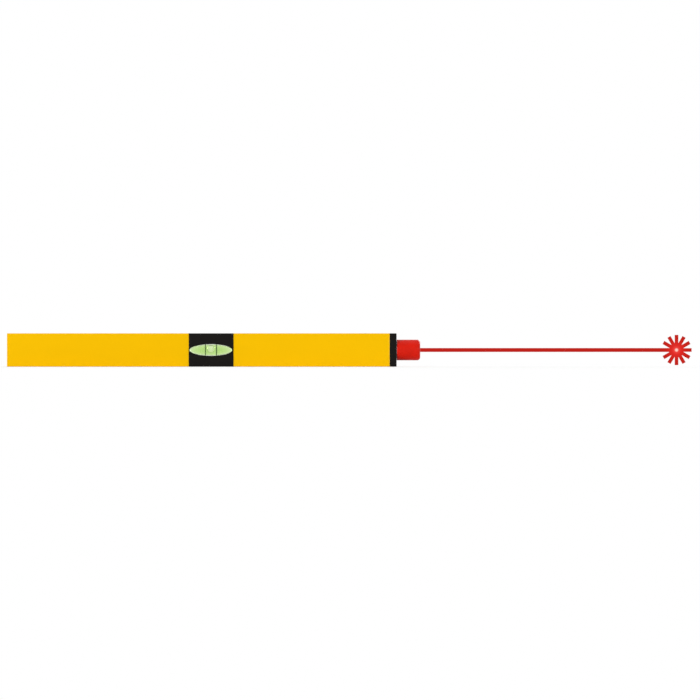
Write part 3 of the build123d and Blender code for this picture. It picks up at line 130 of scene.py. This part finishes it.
# Bare metals: colour, roughness from and to, and how far the tool marks are drawn out along X, Y and Z.
METALS = {
    "screw_steel": (STEEL, (0.25, 0.42), (1, 1, 1)),
    "turned_brass": (BRASS, (0.22, 0.40), (0.3, 6, 6)),
    "turned_aluminium": (ALUMINIUM, (0.28, 0.45), (0.3, 6, 6)),
    "contact_nickel": (NICKEL, (0.20, 0.35), (5, 0.5, 0.5)),
}
TARNISH_CLOUD = 4.0 * MM
TARNISH_SHADES = (0.86, 1.0)
TOOL_MARK_WIDTH = 0.25 * MM
TOOL_MARK_DEPTH = 0.004 * MM

# Seal rubber: its dull bloom and the patches of its surface.
RUBBER_SPECULAR = 0.2
BLOOM_CLOUD = 3.0 * MM
RUBBER_PATCH = 2.0 * MM
RUBBER_ROUGHNESS = (0.65, 0.85)

# Clear pieces: index, cast of colour, width of the patches in their polish, roughness from and to. The
# long side of the vial's block is etched by its mould, so that it glows instead of mirroring.
ACRYLIC_INDEX = 1.49
GLASS_INDEX = 1.52
CLEAR = {
    "clear_acrylic": (ACRYLIC_INDEX, ACRYLIC_CAST, 3.0 * MM, (0.0, 0.02)),
    "frosted_acrylic": (ACRYLIC_INDEX, ACRYLIC_CAST, 2.0 * MM, (0.42, 0.52)),
    "optical_glass": (GLASS_INDEX, GLASS_CAST, 2.0 * MM, (0.0, 0.02)),
}
CAST_CLOUD = 6.0 * MM

# Outer edges rubbed by hands and tool bags: how far in from an edge it reaches, the length of the worn
# patches along the edge, the share of the rubbed colour in them, and their roughness.
RUB_REACH = 1.3 * MM
RUB_PATCH = 9.0 * MM
RUB_SHARE = 0.7
RUB_ROUGHNESS = 0.25

# The optical vial. The block stands a little clear of its tunnel, and the tunnel's paint ends short of
# both faces of the housing. POLE is the latitude of the last ring of an ellipsoid.
BLOCK_SHORT = 0.05 * MM
BLOCK_CLEAR = 0.25 * MM
BLOCK_RIM = 0.3 * MM
RIM_STEPS = 7
LINING_DEPTH = 16.9 * MM
LINING_REACH = 1.02
CAVITY_HALF_LENGTH = 31.4 * MM
CAVITY_RADIUS = 7.7 * MM
POLE = math.radians(88.5)

# Light in the liquid: its bend at the liquid's and at the bubble's skin, the depth that dims it by the
# clear colour, the longest way that counts at the bubble, and the share that the skin takes by itself.
LIQUID_BEND = 0.985
BUBBLE_BEND = 0.96
LIQUID_DEPTH = 2 * CAVITY_RADIUS
BUBBLE_WAY = LIQUID_DEPTH / 4
SURFACE_SHARE = 0.1

# The white index grooves on top of the head and on the face of the end cap, and the cells' jackets.
INDEX_HALF_WIDTH = 0.52 * MM
INDEX_LENGTH = 5.05 * MM
INDEX_DEPTH = 0.42 * MM
INDEX_DROP = 3 * INDEX_DEPTH
INDEX_SKIN = 0.02 * MM
INDEX_GAP = 1.15 * MM
CELL_LENGTH = 44.5 * MM
CELL_NUB = 1.0 * MM
CELL_BARE_RIM = 0.6 * MM
CELL_BAND = 9.0 * MM

# Springs that work with a joint: the axis that each lies along (0 is X), the body that presses it, the
# radius of its wire and its turns.
SPRINGS = {
    "lens_spring": (0, "lens", 0.4 * MM, 4),
    "button_spring": (1, "button", 0.2 * MM, 3),
}

# The light that leaves the head: its beam, and the star-shaped spot where it ends. The colours go with
# the distance from the star's centre, as a share of its radius.
BEAM_RADIUS = 3.0 * MM
STAR_X = 731.7 * MM
STAR_RAYS = 12
STAR_RADIUS = 23.3 * MM
STAR_RAY_WIDTH = 5.6 * MM
STAR_DISC_RADIUS = 11.4 * MM
LIGHT_STOPS = (
    (0.00, (1.0, 0.66, 0.58)),
    (0.07, (1.0, 0.58, 0.50)),
    (0.14, (0.86, 0.060, 0.048)),
    (0.30, (0.75, 0.026, 0.020)),
    (0.70, (0.56, 0.018, 0.011)),
    (1.00, (0.52, 0.016, 0.010)),
)

# The floor: its reach, how far from the object it keeps a shadow before it goes to plain white, its
# paint and its glow near the object, and what it throws back on the object.
FLOOR_HALF = 30.0
FLOOR_DROP = 0.02 * MM
SHADE_NEAR = 0.5
SHADE_FAR = 1.3
FLOOR_PAINT = 0.85
FLOOR_GLOW = 0.24
FLOOR_BOUNCE = 0.75

# Soft lamps: place, side, and the share of white that each gives a surface that faces it.
LAMPS = {
    "front_left_lamp": ((-2.2, -3.4, 0.9), 2.2, 0.42),
    "front_right_lamp": ((2.4, -3.4, 0.8), 2.2, 0.32),
    "rear_left_lamp": ((-2.4, 3.4, 1.3), 2.2, 0.34),
    "rear_right_lamp": ((2.2, 3.4, 1.5), 2.2, 0.36),
    "top_lamp": ((0.0, 0.0, 3.4), 2.4, 0.12),
}
WORLD_AMBIENT = 0.42


def corners(node):
    """The lowest and the highest corner of a node's box."""
    low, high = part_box(node)
    return np.array(low), np.array(high)


def middle(node):
    """The centre of a node's box."""
    low, high = corners(node)
    return (low + high) / 2


def shade(colour, factor=1.0):
    """The colour times a factor, with full alpha."""
    return tuple(channel * factor for channel in colour) + (1.0,)


class Nodes:
    """Short calls that build one node tree. A value is a socket to link or a constant to set."""

    def __init__(self, tree):
        self.tree = tree

    def feed(self, socket, value):
        """Link value to the socket where it is another socket, and set it where it is a constant."""
        if isinstance(value, bpy.types.NodeSocket):
            self.tree.links.new(value, socket)
        else:
            socket.default_value = value

    def add(self, kind, settings=None, inputs=None):
        """A new node with these settings, and these inputs by name or number."""
        node = self.tree.nodes.new(kind)
        for key, value in (settings or {}).items():
            setattr(node, key, value)
        for key, value in (inputs or {}).items():
            self.feed(node.inputs[key], value)
        return node

    def place(self):
        """Object coordinates: metres in the shared frame, so that sizes in a pattern are real sizes."""
        return self.add("ShaderNodeTexCoord").outputs["Object"]

    def math(self, operation, first, second=0.0):
        """One sum on two values."""
        return self.add("ShaderNodeMath", {"operation": operation}, {0: first, 1: second}).outputs[0]

    def vector(self, operation, first, second=(0.0, 0.0, 0.0)):
        """One sum on two vectors, which gives a vector, or a value for a length or a distance."""
        node = self.add("ShaderNodeVectorMath", {"operation": operation}, {0: first, 1: second})
        return node.outputs["Value" if operation in ("LENGTH", "DISTANCE") else "Vector"]

    def parts(self, vector):
        """The three parts of a vector."""
        return self.add("ShaderNodeSeparateXYZ", inputs={0: vector}).outputs

    def spread(self, value, low, high, start=0.3, stop=0.7):
        """The value stretched so that start gives low and stop gives high. Most noise lies in 0.3 to 0.7."""
        inputs = {"Value": value, "From Min": start, "From Max": stop, "To Min": low, "To Max": high}
        return self.add("ShaderNodeMapRange", inputs=inputs).outputs["Result"]

    def tint(self, factor, first, second):
        """A colour that goes from first to second with the factor."""
        node = self.add("ShaderNodeMix", {"data_type": "RGBA"}, {0: factor, 6: first, 7: second})
        return node.outputs[2]

    def eye(self):
        """1 for rays from the camera, and for those that reflect or pass through glass on their way."""
        path = self.add("ShaderNodeLightPath").outputs
        mirrored = self.math("MAXIMUM", path["Is Camera Ray"], path["Is Glossy Ray"])
        return self.math("MAXIMUM", mirrored, path["Is Transmission Ray"])


class Finish(Nodes):
    """A material around one Principled shader, with patterns on Object coordinates."""

    def __init__(self, name, **constants):
        self.material = bpy.data.materials.new(name)
        self.material.use_nodes = True
        super().__init__(self.material.node_tree)
        self.shader = self.tree.nodes["Principled BSDF"]
        for key, value in constants.items():
            self.shader.inputs[key.replace("_", " ")].default_value = value
        self.spot = self.place()

    def set(self, socket, value):
        """Feed one socket of the shader."""
        self.feed(self.shader.inputs[socket], value)

    def under(self, socket):
        """What feeds one socket of the shader so far."""
        return self.shader.inputs[socket].links[0].from_socket

    def noise(self, size, detail=2.0, stretch=(1.0, 1.0, 1.0)):
        """Cloudy noise around 0.5, with blotches of this size in metres, drawn out by stretch."""
        scale = [1 / (size * length) for length in stretch]
        spot = self.add("ShaderNodeMapping", inputs={"Vector": self.spot, "Scale": scale}).outputs[0]
        inputs = {"Vector": spot, "Scale": 1.0, "Detail": detail}
        return self.add("ShaderNodeTexNoise", inputs=inputs).outputs["Fac"]

    def clouded(self, cloud, colours):
        """The base colour, from the first of two colours to the second with the noise."""
        self.set("Base Color", self.tint(self.spread(cloud, 0.0, 1.0), *colours))

    def patched(self, patches, roughness):
        """The roughness, from and to with the noise."""
        self.set("Roughness", self.spread(patches, *roughness))

    def paint(self, mask, colour):
        """A colour laid over the base colour where the mask is 1."""
        self.set("Base Color", self.tint(mask, self.under("Base Color"), shade(colour)))

    def relief(self, height, depth):
        """Bump of this depth in metres, laid over any relief that is already there."""
        node = self.add("ShaderNodeBump", inputs={"Height": height, "Distance": depth})
        if self.shader.inputs["Normal"].links:
            self.feed(node.inputs["Normal"], self.under("Normal"))
        self.set("Normal", node.outputs["Normal"])

    def edge_way(self, node):
        """How far a point on the outside of a box-shaped node is from the box's nearest edge.

        Of its distances from the faces along X, Y and Z, that is the one in the middle.
        """
        low, high = corners(node)
        way = self.vector("ABSOLUTE", self.vector("SUBTRACT", self.spot, middle(node)))
        along, across, up = self.parts(self.vector("SUBTRACT", (high - low) / 2, way))
        nearer = self.math("MINIMUM", along, across)
        further = self.math("MAXIMUM", along, across)
        return self.math("MAXIMUM", nearer, self.math("MINIMUM", further, up))

    def rub_edges(self, node, colour):
        """Patchy wear along the outer edges of a box-shaped node, paler and smoother than the rest."""
        edge = self.spread(self.edge_way(node), RUB_SHARE, 0.0, 0.0, RUB_REACH)
        rubbed = self.math("MULTIPLY", edge, self.spread(self.noise(RUB_PATCH, detail=4.0), 0.0, 1.0))
        self.paint(rubbed, colour)
        rough = self.under("Roughness")
        smoothed = self.math("MULTIPLY", rubbed, self.math("SUBTRACT", rough, RUB_ROUGHNESS))
        self.set("Roughness", self.math("SUBTRACT", rough, smoothed))

    def inside_box(self, low, high):
        """1 for points in the box between two corners, from the way to its middle over half of each side."""
        low, high = np.array(low), np.array(high)
        way = self.vector("SUBTRACT", self.spot, (low + high) / 2)
        share = self.parts(self.vector("DIVIDE", self.vector("ABSOLUTE", way), (high - low) / 2))
        furthest = self.math("MAXIMUM", self.math("MAXIMUM", share[0], share[1]), share[2])
        return self.math("LESS_THAN", furthest, 1.0)


def powder_coat():
    """Yellow powder coat: a faint orange peel over the die lines of the extrusion, and cloudy gloss."""
    finish = Finish("powder_coat_yellow", Specular_IOR_Level=COAT_SPECULAR, Specular_Tint=shade(COAT_SHEEN))
    cloud = finish.noise(COAT_CLOUD, detail=3.0, stretch=COAT_CLOUD_STRETCH)
    finish.clouded(cloud, [shade(YELLOW, factor) for factor in COAT_SHADES])
    finish.patched(finish.noise(COAT_PATCH), COAT_ROUGHNESS)
    finish.relief(finish.noise(DIE_LINE_WIDTH, stretch=DIE_LINE_STRETCH), DIE_LINE_DEPTH)
    finish.relief(finish.noise(PEEL_WIDTH, detail=1.0), PEEL_DEPTH)
    finish.rub_edges("body_profile", RUBBED_YELLOW)
    return finish.material


def moulded_finish(slot, name=None):
    """Moulded plastic: the fine spark-eroded grain of the mould, and gloss worn a little uneven by hands.

    The grain's hollows get painted shade, darker than its tops, and more so the deeper they are for their
    width.
    """
    colour, roughness, width, depth, specular = MOULDED[slot]
    finish = Finish(name or slot, Specular_IOR_Level=specular)
    cloud = finish.noise(MOULD_CLOUD, detail=3.0)
    finish.clouded(cloud, [shade(colour, factor) for factor in MOULD_SHADES])
    grain = finish.noise(width)
    # Painted shade: the grain's hollows are darkened towards black.
    finish.paint(finish.spread(grain, HOLLOW_SHADE * depth / width, 0.0), PAINTED_HOLLOW_SHADE)
    finish.patched(finish.noise(HAND_PATCH, detail=3.0), roughness)
    finish.relief(grain, depth)
    return finish


def lined_housing(shell):
    """Moulded black plastic, with a pale reflecting paint inside the eye-shaped window's tunnel.

    The paint covers points nearer to the vial's axis than the window's ellipse, short of both faces.
    """
    finish = moulded_finish("moulded_black", "lined_" + shell)
    finish.rub_edges(shell, RUBBED_BLACK)
    low, high = corners("vial_front_half")
    squeeze = 2 / (high - low) * (1, 0, 1)
    way = finish.vector("SUBTRACT", finish.spot, middle("vial_front_half"))
    reach = finish.vector("LENGTH", finish.vector("MULTIPLY", way, squeeze))
    within = finish.math("LESS_THAN", reach, LINING_REACH)
    depth = finish.math("ABSOLUTE", finish.parts(finish.spot)[1])
    short = finish.math("LESS_THAN", depth, LINING_DEPTH)
    finish.paint(finish.math("MULTIPLY", within, short), LINING_PAINT)
    return finish.material


def marked_head():
    """Red plastic with white paint in the index groove on top, at the back of the head."""
    finish = moulded_finish("signal_red", "marked_head")
    low, high = corners("focus_head")
    low_corner = (low[0] - INDEX_GAP, -INDEX_HALF_WIDTH, high[2] - INDEX_DROP)
    high_corner = (low[0] + INDEX_LENGTH, INDEX_HALF_WIDTH, high[2] + INDEX_GAP)
    finish.paint(finish.inside_box(low_corner, high_corner), MARK_WHITE)
    return finish.material


def marked_cap():
    """Black plastic with white paint in the index groove of the cap's face, just above the head."""
    finish = moulded_finish("moulded_black", "marked_cap")
    finish.rub_edges("right_end_cap", RUBBED_BLACK)
    face = corners("right_end_cap")[1][0]
    groove = corners("focus_head")[1][2] + INDEX_GAP
    low_corner = (face - INDEX_DEPTH, -INDEX_HALF_WIDTH, groove)
    high_corner = (face - INDEX_SKIN, INDEX_HALF_WIDTH, groove + INDEX_LENGTH + INDEX_SKIN)
    finish.paint(finish.inside_box(low_corner, high_corner), MARK_WHITE)
    return finish.material


def cell_jackets():
    """Grey jackets with a pale band at each cell's plus end, and bare metal ends.

    way runs along a cell towards its plus end: to the right on the upper cell, to the left on the lower.
    """
    finish = moulded_finish("cell_wrap")
    low, high = corners("battery_cells")
    nub_tip = (high[0] - low[0]) / 2
    plus = nub_tip - CELL_NUB - CELL_BARE_RIM
    minus = nub_tip - CELL_LENGTH + CELL_BARE_RIM
    along, _, up = finish.parts(finish.vector("SUBTRACT", finish.spot, middle("battery_cells")))
    way = finish.math("MULTIPLY", along, finish.math("SIGN", up))
    finish.paint(finish.math("GREATER_THAN", way, plus - CELL_BAND), JACKET_BAND)
    ends = finish.math("GREATER_THAN", way, plus), finish.math("LESS_THAN", way, minus)
    bare = finish.math("MAXIMUM", *ends)
    finish.paint(bare, NICKEL)
    finish.set("Metallic", bare)
    return finish.material


def seal_rubber():
    """Black seal rubber with a dull bloom."""
    finish = Finish("seal_rubber", Specular_IOR_Level=RUBBER_SPECULAR)
    finish.clouded(finish.noise(BLOOM_CLOUD, detail=3.0), (shade(RUBBER), shade(RUBBER_BLOOM)))
    finish.patched(finish.noise(RUBBER_PATCH), RUBBER_ROUGHNESS)
    return finish.material


def worked_metal(slot):
    """Bare metal with fine tool marks drawn out along one axis, and a thin cloudy tarnish."""
    colour, roughness, stretch = METALS[slot]
    finish = Finish(slot, Metallic=1.0)
    tarnish = finish.noise(TARNISH_CLOUD, detail=3.0)
    finish.clouded(tarnish, [shade(colour, factor) for factor in TARNISH_SHADES])
    marks = finish.noise(TOOL_MARK_WIDTH, stretch=stretch)
    finish.patched(marks, roughness)
    finish.relief(marks, TOOL_MARK_DEPTH)
    return finish.material


def clear_finish(name):
    """Clear material with a faint cloudy cast of colour and a slightly uneven polish."""
    index, casts, width, roughness = CLEAR[name]
    finish = Finish(name, Transmission_Weight=1.0, IOR=index)
    finish.clouded(finish.noise(CAST_CLOUD), [shade(cast) for cast in casts])
    finish.patched(finish.noise(width), roughness)
    return finish.material


def absorbing(name, bend, longest, liquid_inside):
    """An edge of the liquid, where light that has crossed it is dimmed by the length of its way through.

    Light over the full depth of the vial comes through with the liquid's clear colour. A share of that
    is taken where the light goes in, and the rest, as a power of the way over the depth, where it comes
    out. A way counts up to the longest. bend is the index of what lies inside the surface over the
    index of what lies outside.
    """
    finish = Finish(name, Transmission_Weight=1.0, IOR=bend, Roughness=0.0)
    way = finish.math("MINIMUM", finish.add("ShaderNodeLightPath").outputs["Ray Length"], longest)
    power = finish.math("MULTIPLY", way, 2 * (1 - SURFACE_SHARE) / LIQUID_DEPTH)
    channels = [finish.math("POWER", channel, power) for channel in LIQUID_CLEAR]
    dimmed = finish.add("ShaderNodeCombineColor", inputs=dict(enumerate(channels))).outputs[0]
    entered = shade([channel ** (2 * SURFACE_SHARE) for channel in LIQUID_CLEAR])
    back = finish.add("ShaderNodeNewGeometry").outputs["Backfacing"]
    if liquid_inside:
        finish.set("Base Color", finish.tint(back, entered, dimmed))
    else:
        finish.set("Base Color", finish.tint(back, dimmed, shade((1.0, 1.0, 1.0))))
    return finish.material


def vial_liquid():
    """Yellow-green vial liquid."""
    return absorbing("vial_green", LIQUID_BEND, LIQUID_DEPTH, liquid_inside=True)


def bubble_air():
    """The skin of the bubble, where light leaves the liquid for air."""
    return absorbing("bubble_air", BUBBLE_BEND, BUBBLE_WAY, liquid_inside=False)


FINISHES = {
    "bar_yellow": powder_coat(),
    "seal_rubber": seal_rubber(),
    "vial_green": vial_liquid(),
    "bubble_air": bubble_air(),
    "cell_wrap": cell_jackets(),
}
FINISHES.update({slot: moulded_finish(slot).material for slot in MOULDED if slot not in FINISHES})
FINISHES.update({slot: worked_metal(slot) for slot in METALS})
FINISHES.update({name: clear_finish(name) for name in CLEAR})


def dress(node, finish):
    """Give every material slot of a node this finish."""
    for place in frame["nodes"][node].material_slots:
        place.material = finish


def dress_nodes():
    """Every node takes the finish of its slot in the record, and four of them one with its own paint."""
    for row in frame["record"]["subparts"]:
        dress(row["node"], FINISHES[row["material_slot"]])
    for shell in ("front_vial_shell", "rear_vial_shell"):
        dress(shell, lined_housing(shell))
    dress("focus_head", marked_head())
    dress("right_end_cap", marked_cap())


def mesh_object(name, points, faces, finish):
    """An object at the origin with its place in its mesh, linked to the scene."""
    mesh = bpy.data.meshes.new(name)
    mesh.from_pydata(points, [], faces)
    mesh.materials.append(finish)
    piece = bpy.data.objects.new(name, mesh)
    bpy.context.scene.collection.objects.link(piece)
    return piece


def ring_mesh(name, grid, finish, sharp=35.0):
    """A closed mesh from rings of points: grid[row, column], with columns round each ring.

    Neighbouring rings are joined by quads, and the first and last ring each get one flat face. Rows go
    so that the next column, crossed with the next row, points outwards. Edges over the sharp angle, in
    degrees, stay crisp.
    """
    rows, columns = grid.shape[:2]
    first = np.arange(rows - 1)[:, None] * columns
    here = np.arange(columns)[None, :]
    there = (here + 1) % columns
    sides = (first + here, first + there, first + columns + there, first + columns + here)
    quads = np.stack(sides, axis=-1).reshape(-1, 4).tolist()
    ends = [np.arange(columns)[::-1].tolist(), (np.arange(columns) + (rows - 1) * columns).tolist()]
    piece = mesh_object(name, grid.reshape(-1, 3).tolist(), quads + ends, finish)
    piece.data.shade_smooth()
    piece.data.set_sharp_from_angle(angle=math.radians(sharp))
    return piece


def circle(steps):
    """Angles evenly round a circle."""
    return np.linspace(0, 2 * math.pi, steps, endpoint=False)


def ellipsoid(centre, half_length, radius, rows=72, columns=96):
    """Rings of an ellipsoid of revolution about X: x goes as the sine of latitude, the ring as its cosine."""
    latitude = np.linspace(-POLE, POLE, rows)[:, None]
    turn = circle(columns)[None, :]
    x = half_length * np.sin(latitude) + 0 * turn
    y = radius * np.cos(latitude) * np.cos(turn)
    z = radius * np.cos(latitude) * np.sin(turn)
    return np.stack((x, y, z), axis=-1) + centre


def vial_box():
    """The centre of the box around both halves of the vial, and half of each of its sides."""
    low = corners("vial_front_half")[0]
    high = corners("vial_rear_half")[1]
    return (low + high) / 2, (high - low) / 2


def vial_block(columns=192):
    """The acrylic block: an ellipse carried from the rear face to the front one, with a round at each.

    Each round is a quarter circle, along which the ellipse draws in by the sine as it nears the face by
    the cosine. The long side between the two rounds is frosted.
    """
    centre, half = vial_box()
    half -= (BLOCK_CLEAR, BLOCK_SHORT, BLOCK_CLEAR)
    arc = np.linspace(0, math.pi / 2, RIM_STEPS)
    inset = BLOCK_RIM * np.concatenate((1 - np.sin(arc), 1 - np.cos(arc)))[:, None]
    rear_depth = half[1] - BLOCK_RIM * (1 - np.cos(arc))
    depth = np.concatenate((rear_depth, -rear_depth[::-1]))[:, None]
    turn = circle(columns)[None, :]
    x = (half[0] - inset) * np.cos(turn)
    y = depth + 0 * turn
    z = (half[2] - inset) * np.sin(turn)
    block = ring_mesh("vial_block", np.stack((x, y, z), axis=-1) + centre, FINISHES["clear_acrylic"])
    block.data.materials.append(FINISHES["frosted_acrylic"])
    slots = np.zeros(len(block.data.polygons), dtype=np.int32)
    side = (RIM_STEPS - 1) * columns
    slots[side:side + columns] = 1
    block.data.polygons.foreach_set("material_index", slots)
    return block


def place_piece(piece, body, slot, *nodes):
    """A piece that rides on a body and stands for these nodes. The slot is not used."""
    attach(piece, body)
    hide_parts(*nodes)


def vial_pieces():
    """The block, its liquid and the bubble, one inside the other."""
    place_piece(vial_block(), "level", "clear_acrylic", "vial_front_half", "vial_rear_half")
    cavity = ellipsoid(vial_box()[0], CAVITY_HALF_LENGTH, CAVITY_RADIUS)
    liquid = ring_mesh("vial_liquid", cavity, FINISHES["vial_green"])
    place_piece(liquid, "level", "vial_green", "vial_fluid")
    low, high = corners("vial_bubble")
    half = (high - low) / 2
    skin = ellipsoid(middle("vial_bubble"), half[0], half[1])
    bubble = ring_mesh("bubble_skin", skin, FINISHES["bubble_air"])
    place_piece(bubble, "bubble", "bubble_air", "vial_bubble")


def coil_grid(low, high, axis, wire, turns, steps=40, columns=12):
    """Rings of a round wire along a helix that fills a box, about one axis of the box.

    The path goes round once a turn while it moves evenly along the axis. Each ring is a circle drawn on
    the outward direction and on the one square to that and to the path.
    """
    side, up, along = np.roll(np.eye(3), -axis - 1, axis=0)
    centre = (low + high) / 2
    radius = (high - low)[axis - 1] / 2 - wire
    length = (high - low)[axis] - 2 * wire
    turn = np.linspace(0, 2 * math.pi * turns, steps * turns + 1)[:, None]
    outward = np.cos(turn) * side + np.sin(turn) * up
    path = centre + radius * outward + length * (turn / turn[-1] - 0.5) * along
    ahead = radius * (np.cos(turn) * up - np.sin(turn) * side) + length / turn[-1] * along
    ahead /= np.linalg.norm(ahead, axis=-1, keepdims=True)
    across = np.cross(ahead, outward)
    ring = circle(columns)[None, :, None]
    return path[:, None] + wire * (np.cos(ring) * outward[:, None] + np.sin(ring) * across[:, None])


def spring_pieces():
    """Springs as coils of round wire that fill their nodes' boxes, in place of the nodes."""
    slots = {row["node"]: row["material_slot"] for row in frame["record"]["subparts"]}
    for node, (axis, body, wire, turns) in SPRINGS.items():
        low, high = corners(node)
        grid = coil_grid(low, high, axis, wire, turns)
        spring = ring_mesh(node.replace("spring", "coil"), grid, FINISHES[slots[node]])
        start = middle(node)
        end = middle(node)
        start[axis] = low[axis]
        end[axis] = high[axis]
        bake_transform(spring)
        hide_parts(node)


def stage_material(name):
    """A material with no shader yet: its nodes and the socket of its surface."""
    material = bpy.data.materials.new(name)
    material.use_nodes = True
    material.node_tree.nodes.clear()
    nodes = Nodes(material.node_tree)
    return material, nodes, nodes.add("ShaderNodeOutputMaterial").inputs["Surface"]


def floor():
    """A pale floor, which greys where the object shades it and is plain white further off."""
    material, nodes, surface = stage_material("pale_floor")
    away = nodes.vector("DISTANCE", nodes.place(), middle("body_profile") * (1, 1, 0))
    eye = nodes.eye()
    paint = nodes.spread(away, FLOOR_PAINT, 0.0, SHADE_NEAR, SHADE_FAR)
    colour = nodes.tint(eye, shade((FLOOR_BOUNCE,) * 3), paint)
    diffuse = nodes.add("ShaderNodeBsdfDiffuse", inputs={"Color": colour})
    level = nodes.math("MULTIPLY", eye, nodes.spread(away, FLOOR_GLOW, 1.0, SHADE_NEAR, SHADE_FAR))
    glow = nodes.add("ShaderNodeEmission", inputs={"Strength": level})
    both = nodes.add("ShaderNodeAddShader", inputs={0: diffuse.outputs[0], 1: glow.outputs[0]})
    nodes.feed(surface, both.outputs[0])
    square = FLOOR_HALF * np.array(((-1, -1, 0), (1, -1, 0), (1, 1, 0), (-1, 1, 0)))
    square -= (0, 0, FLOOR_DROP)
    mesh_object("floor", square.tolist(), [(0, 1, 2, 3)], material)


def light_material(centre):
    """Red light whose colour goes with the distance from the star's centre."""
    material, nodes, surface = stage_material("laser_light")
    away = nodes.vector("DISTANCE", nodes.place(), centre)
    share = nodes.math("DIVIDE", away, STAR_RADIUS)
    ramp = nodes.add("ShaderNodeValToRGB", inputs={0: share})
    elements = ramp.color_ramp.elements
    while len(elements) < len(LIGHT_STOPS):
        elements.new(1.0)
    for element, (position, colour) in zip(elements, LIGHT_STOPS):
        element.position = position
        element.color = shade(colour)
    glow = nodes.add("ShaderNodeEmission", inputs={"Color": ramp.outputs[0]})
    nodes.feed(surface, glow.outputs[0])
    return material


def only_seen(piece):
    """Keep a piece of light from lighting or shading anything."""
    piece.visible_diffuse = False
    piece.visible_glossy = False
    piece.visible_transmission = False
    piece.visible_shadow = False


def laser_beam(centre, light, columns=24):
    """The beam, a thin rod of light: a circle carried along the head's axis, from its mouth to the spot."""
    turn = circle(columns)[None, :]
    x = np.array((corners("aperture_ring")[1][0], centre[0]))[:, None] + 0 * turn
    y = BEAM_RADIUS * np.cos(turn) + 0 * x
    z = centre[2] + BEAM_RADIUS * np.sin(turn) + 0 * x
    only_seen(ring_mesh("laser_beam", np.stack((x, y, z), axis=-1), light))


def laser_spot(centre, light, columns=48):
    """The spot, a flat star: a disc, and square-ended rays evenly round it.

    A ray is a rectangle from the centre to the star's radius along its own direction, and half its width
    to each side.
    """
    turn = circle(STAR_RAYS)
    along = STAR_RADIUS * np.stack((np.cos(turn), np.sin(turn)), axis=-1)
    across = STAR_RAY_WIDTH / 2 * np.stack((-np.sin(turn), np.cos(turn)), axis=-1)
    rays = np.stack((-across, along - across, along + across, across), axis=1).reshape(-1, 2)
    rim = circle(columns)
    disc = STAR_DISC_RADIUS * np.stack((np.cos(rim), np.sin(rim)), axis=-1)
    flat = np.concatenate((rays, disc))
    points = np.insert(flat, 1, 0, axis=1) + centre
    faces = np.arange(len(rays)).reshape(-1, 4).tolist()
    faces.append(np.arange(len(rays), len(flat)).tolist())
    only_seen(mesh_object("laser_spot", points.tolist(), faces, light))


def laser_light():
    """The light that leaves the head, with the front of the spot level with the front of the beam."""
    centre = (STAR_X, -BEAM_RADIUS, middle("focus_head")[2])
    light = light_material(centre)
    laser_beam(centre, light)
    laser_spot(centre, light)


def soft_lamp(name, place, size, level):
    """A large square lamp aimed at the object; its power gives the level at the object's distance."""
    target = Vector(middle("body_profile"))
    spot = Vector(place)
    lamp = bpy.data.lights.new(name, "AREA")
    lamp.shape = "SQUARE"
    lamp.size = size
    lamp.energy = level * math.pi ** 2 * (target - spot).length_squared
    holder = bpy.data.objects.new(name, lamp)
    holder.location = spot
    holder.rotation_euler = (target - spot).to_track_quat("-Z", "Y").to_euler()
    bpy.context.scene.collection.objects.link(holder)


def studio():
    """Soft lamps all round, and a world that is white to the eye and dimmer as light."""
    for name, settings in LAMPS.items():
        soft_lamp(name, *settings)
    world = bpy.data.worlds.new("studio")
    bpy.context.scene.world = world
    world.use_nodes = True
    nodes = Nodes(world.node_tree)
    background = world.node_tree.nodes["Background"]
    nodes.feed(background.inputs["Color"], shade((1.0, 1.0, 1.0)))
    strength = nodes.spread(nodes.eye(), WORLD_AMBIENT, 1.0, 0.0, 1.0)
    nodes.feed(background.inputs["Strength"], strength)


def camera():
    """A level view square to the front, far off with a long lens, so that the side reads flat."""
    front = corners("front_vial_shell")[0][1]
    width = PICTURE_PIXELS * MM_PER_PIXEL * MM
    data = bpy.data.cameras.new("camera")
    data.lens = LENS
    data.sensor_width = SENSOR
    holder = bpy.data.objects.new("camera", data)
    holder.location = (PICTURE_CENTRE_X, front - width * LENS / SENSOR, middle("body_profile")[2])
    holder.rotation_euler = (math.pi / 2, 0, 0)
    bpy.context.scene.collection.objects.link(holder)
    bpy.context.scene.camera = holder


dress_nodes()
vial_pieces()
spring_pieces()
floor()
laser_light()
studio()
camera()
bpy.context.scene.view_settings.view_transform = "Standard"
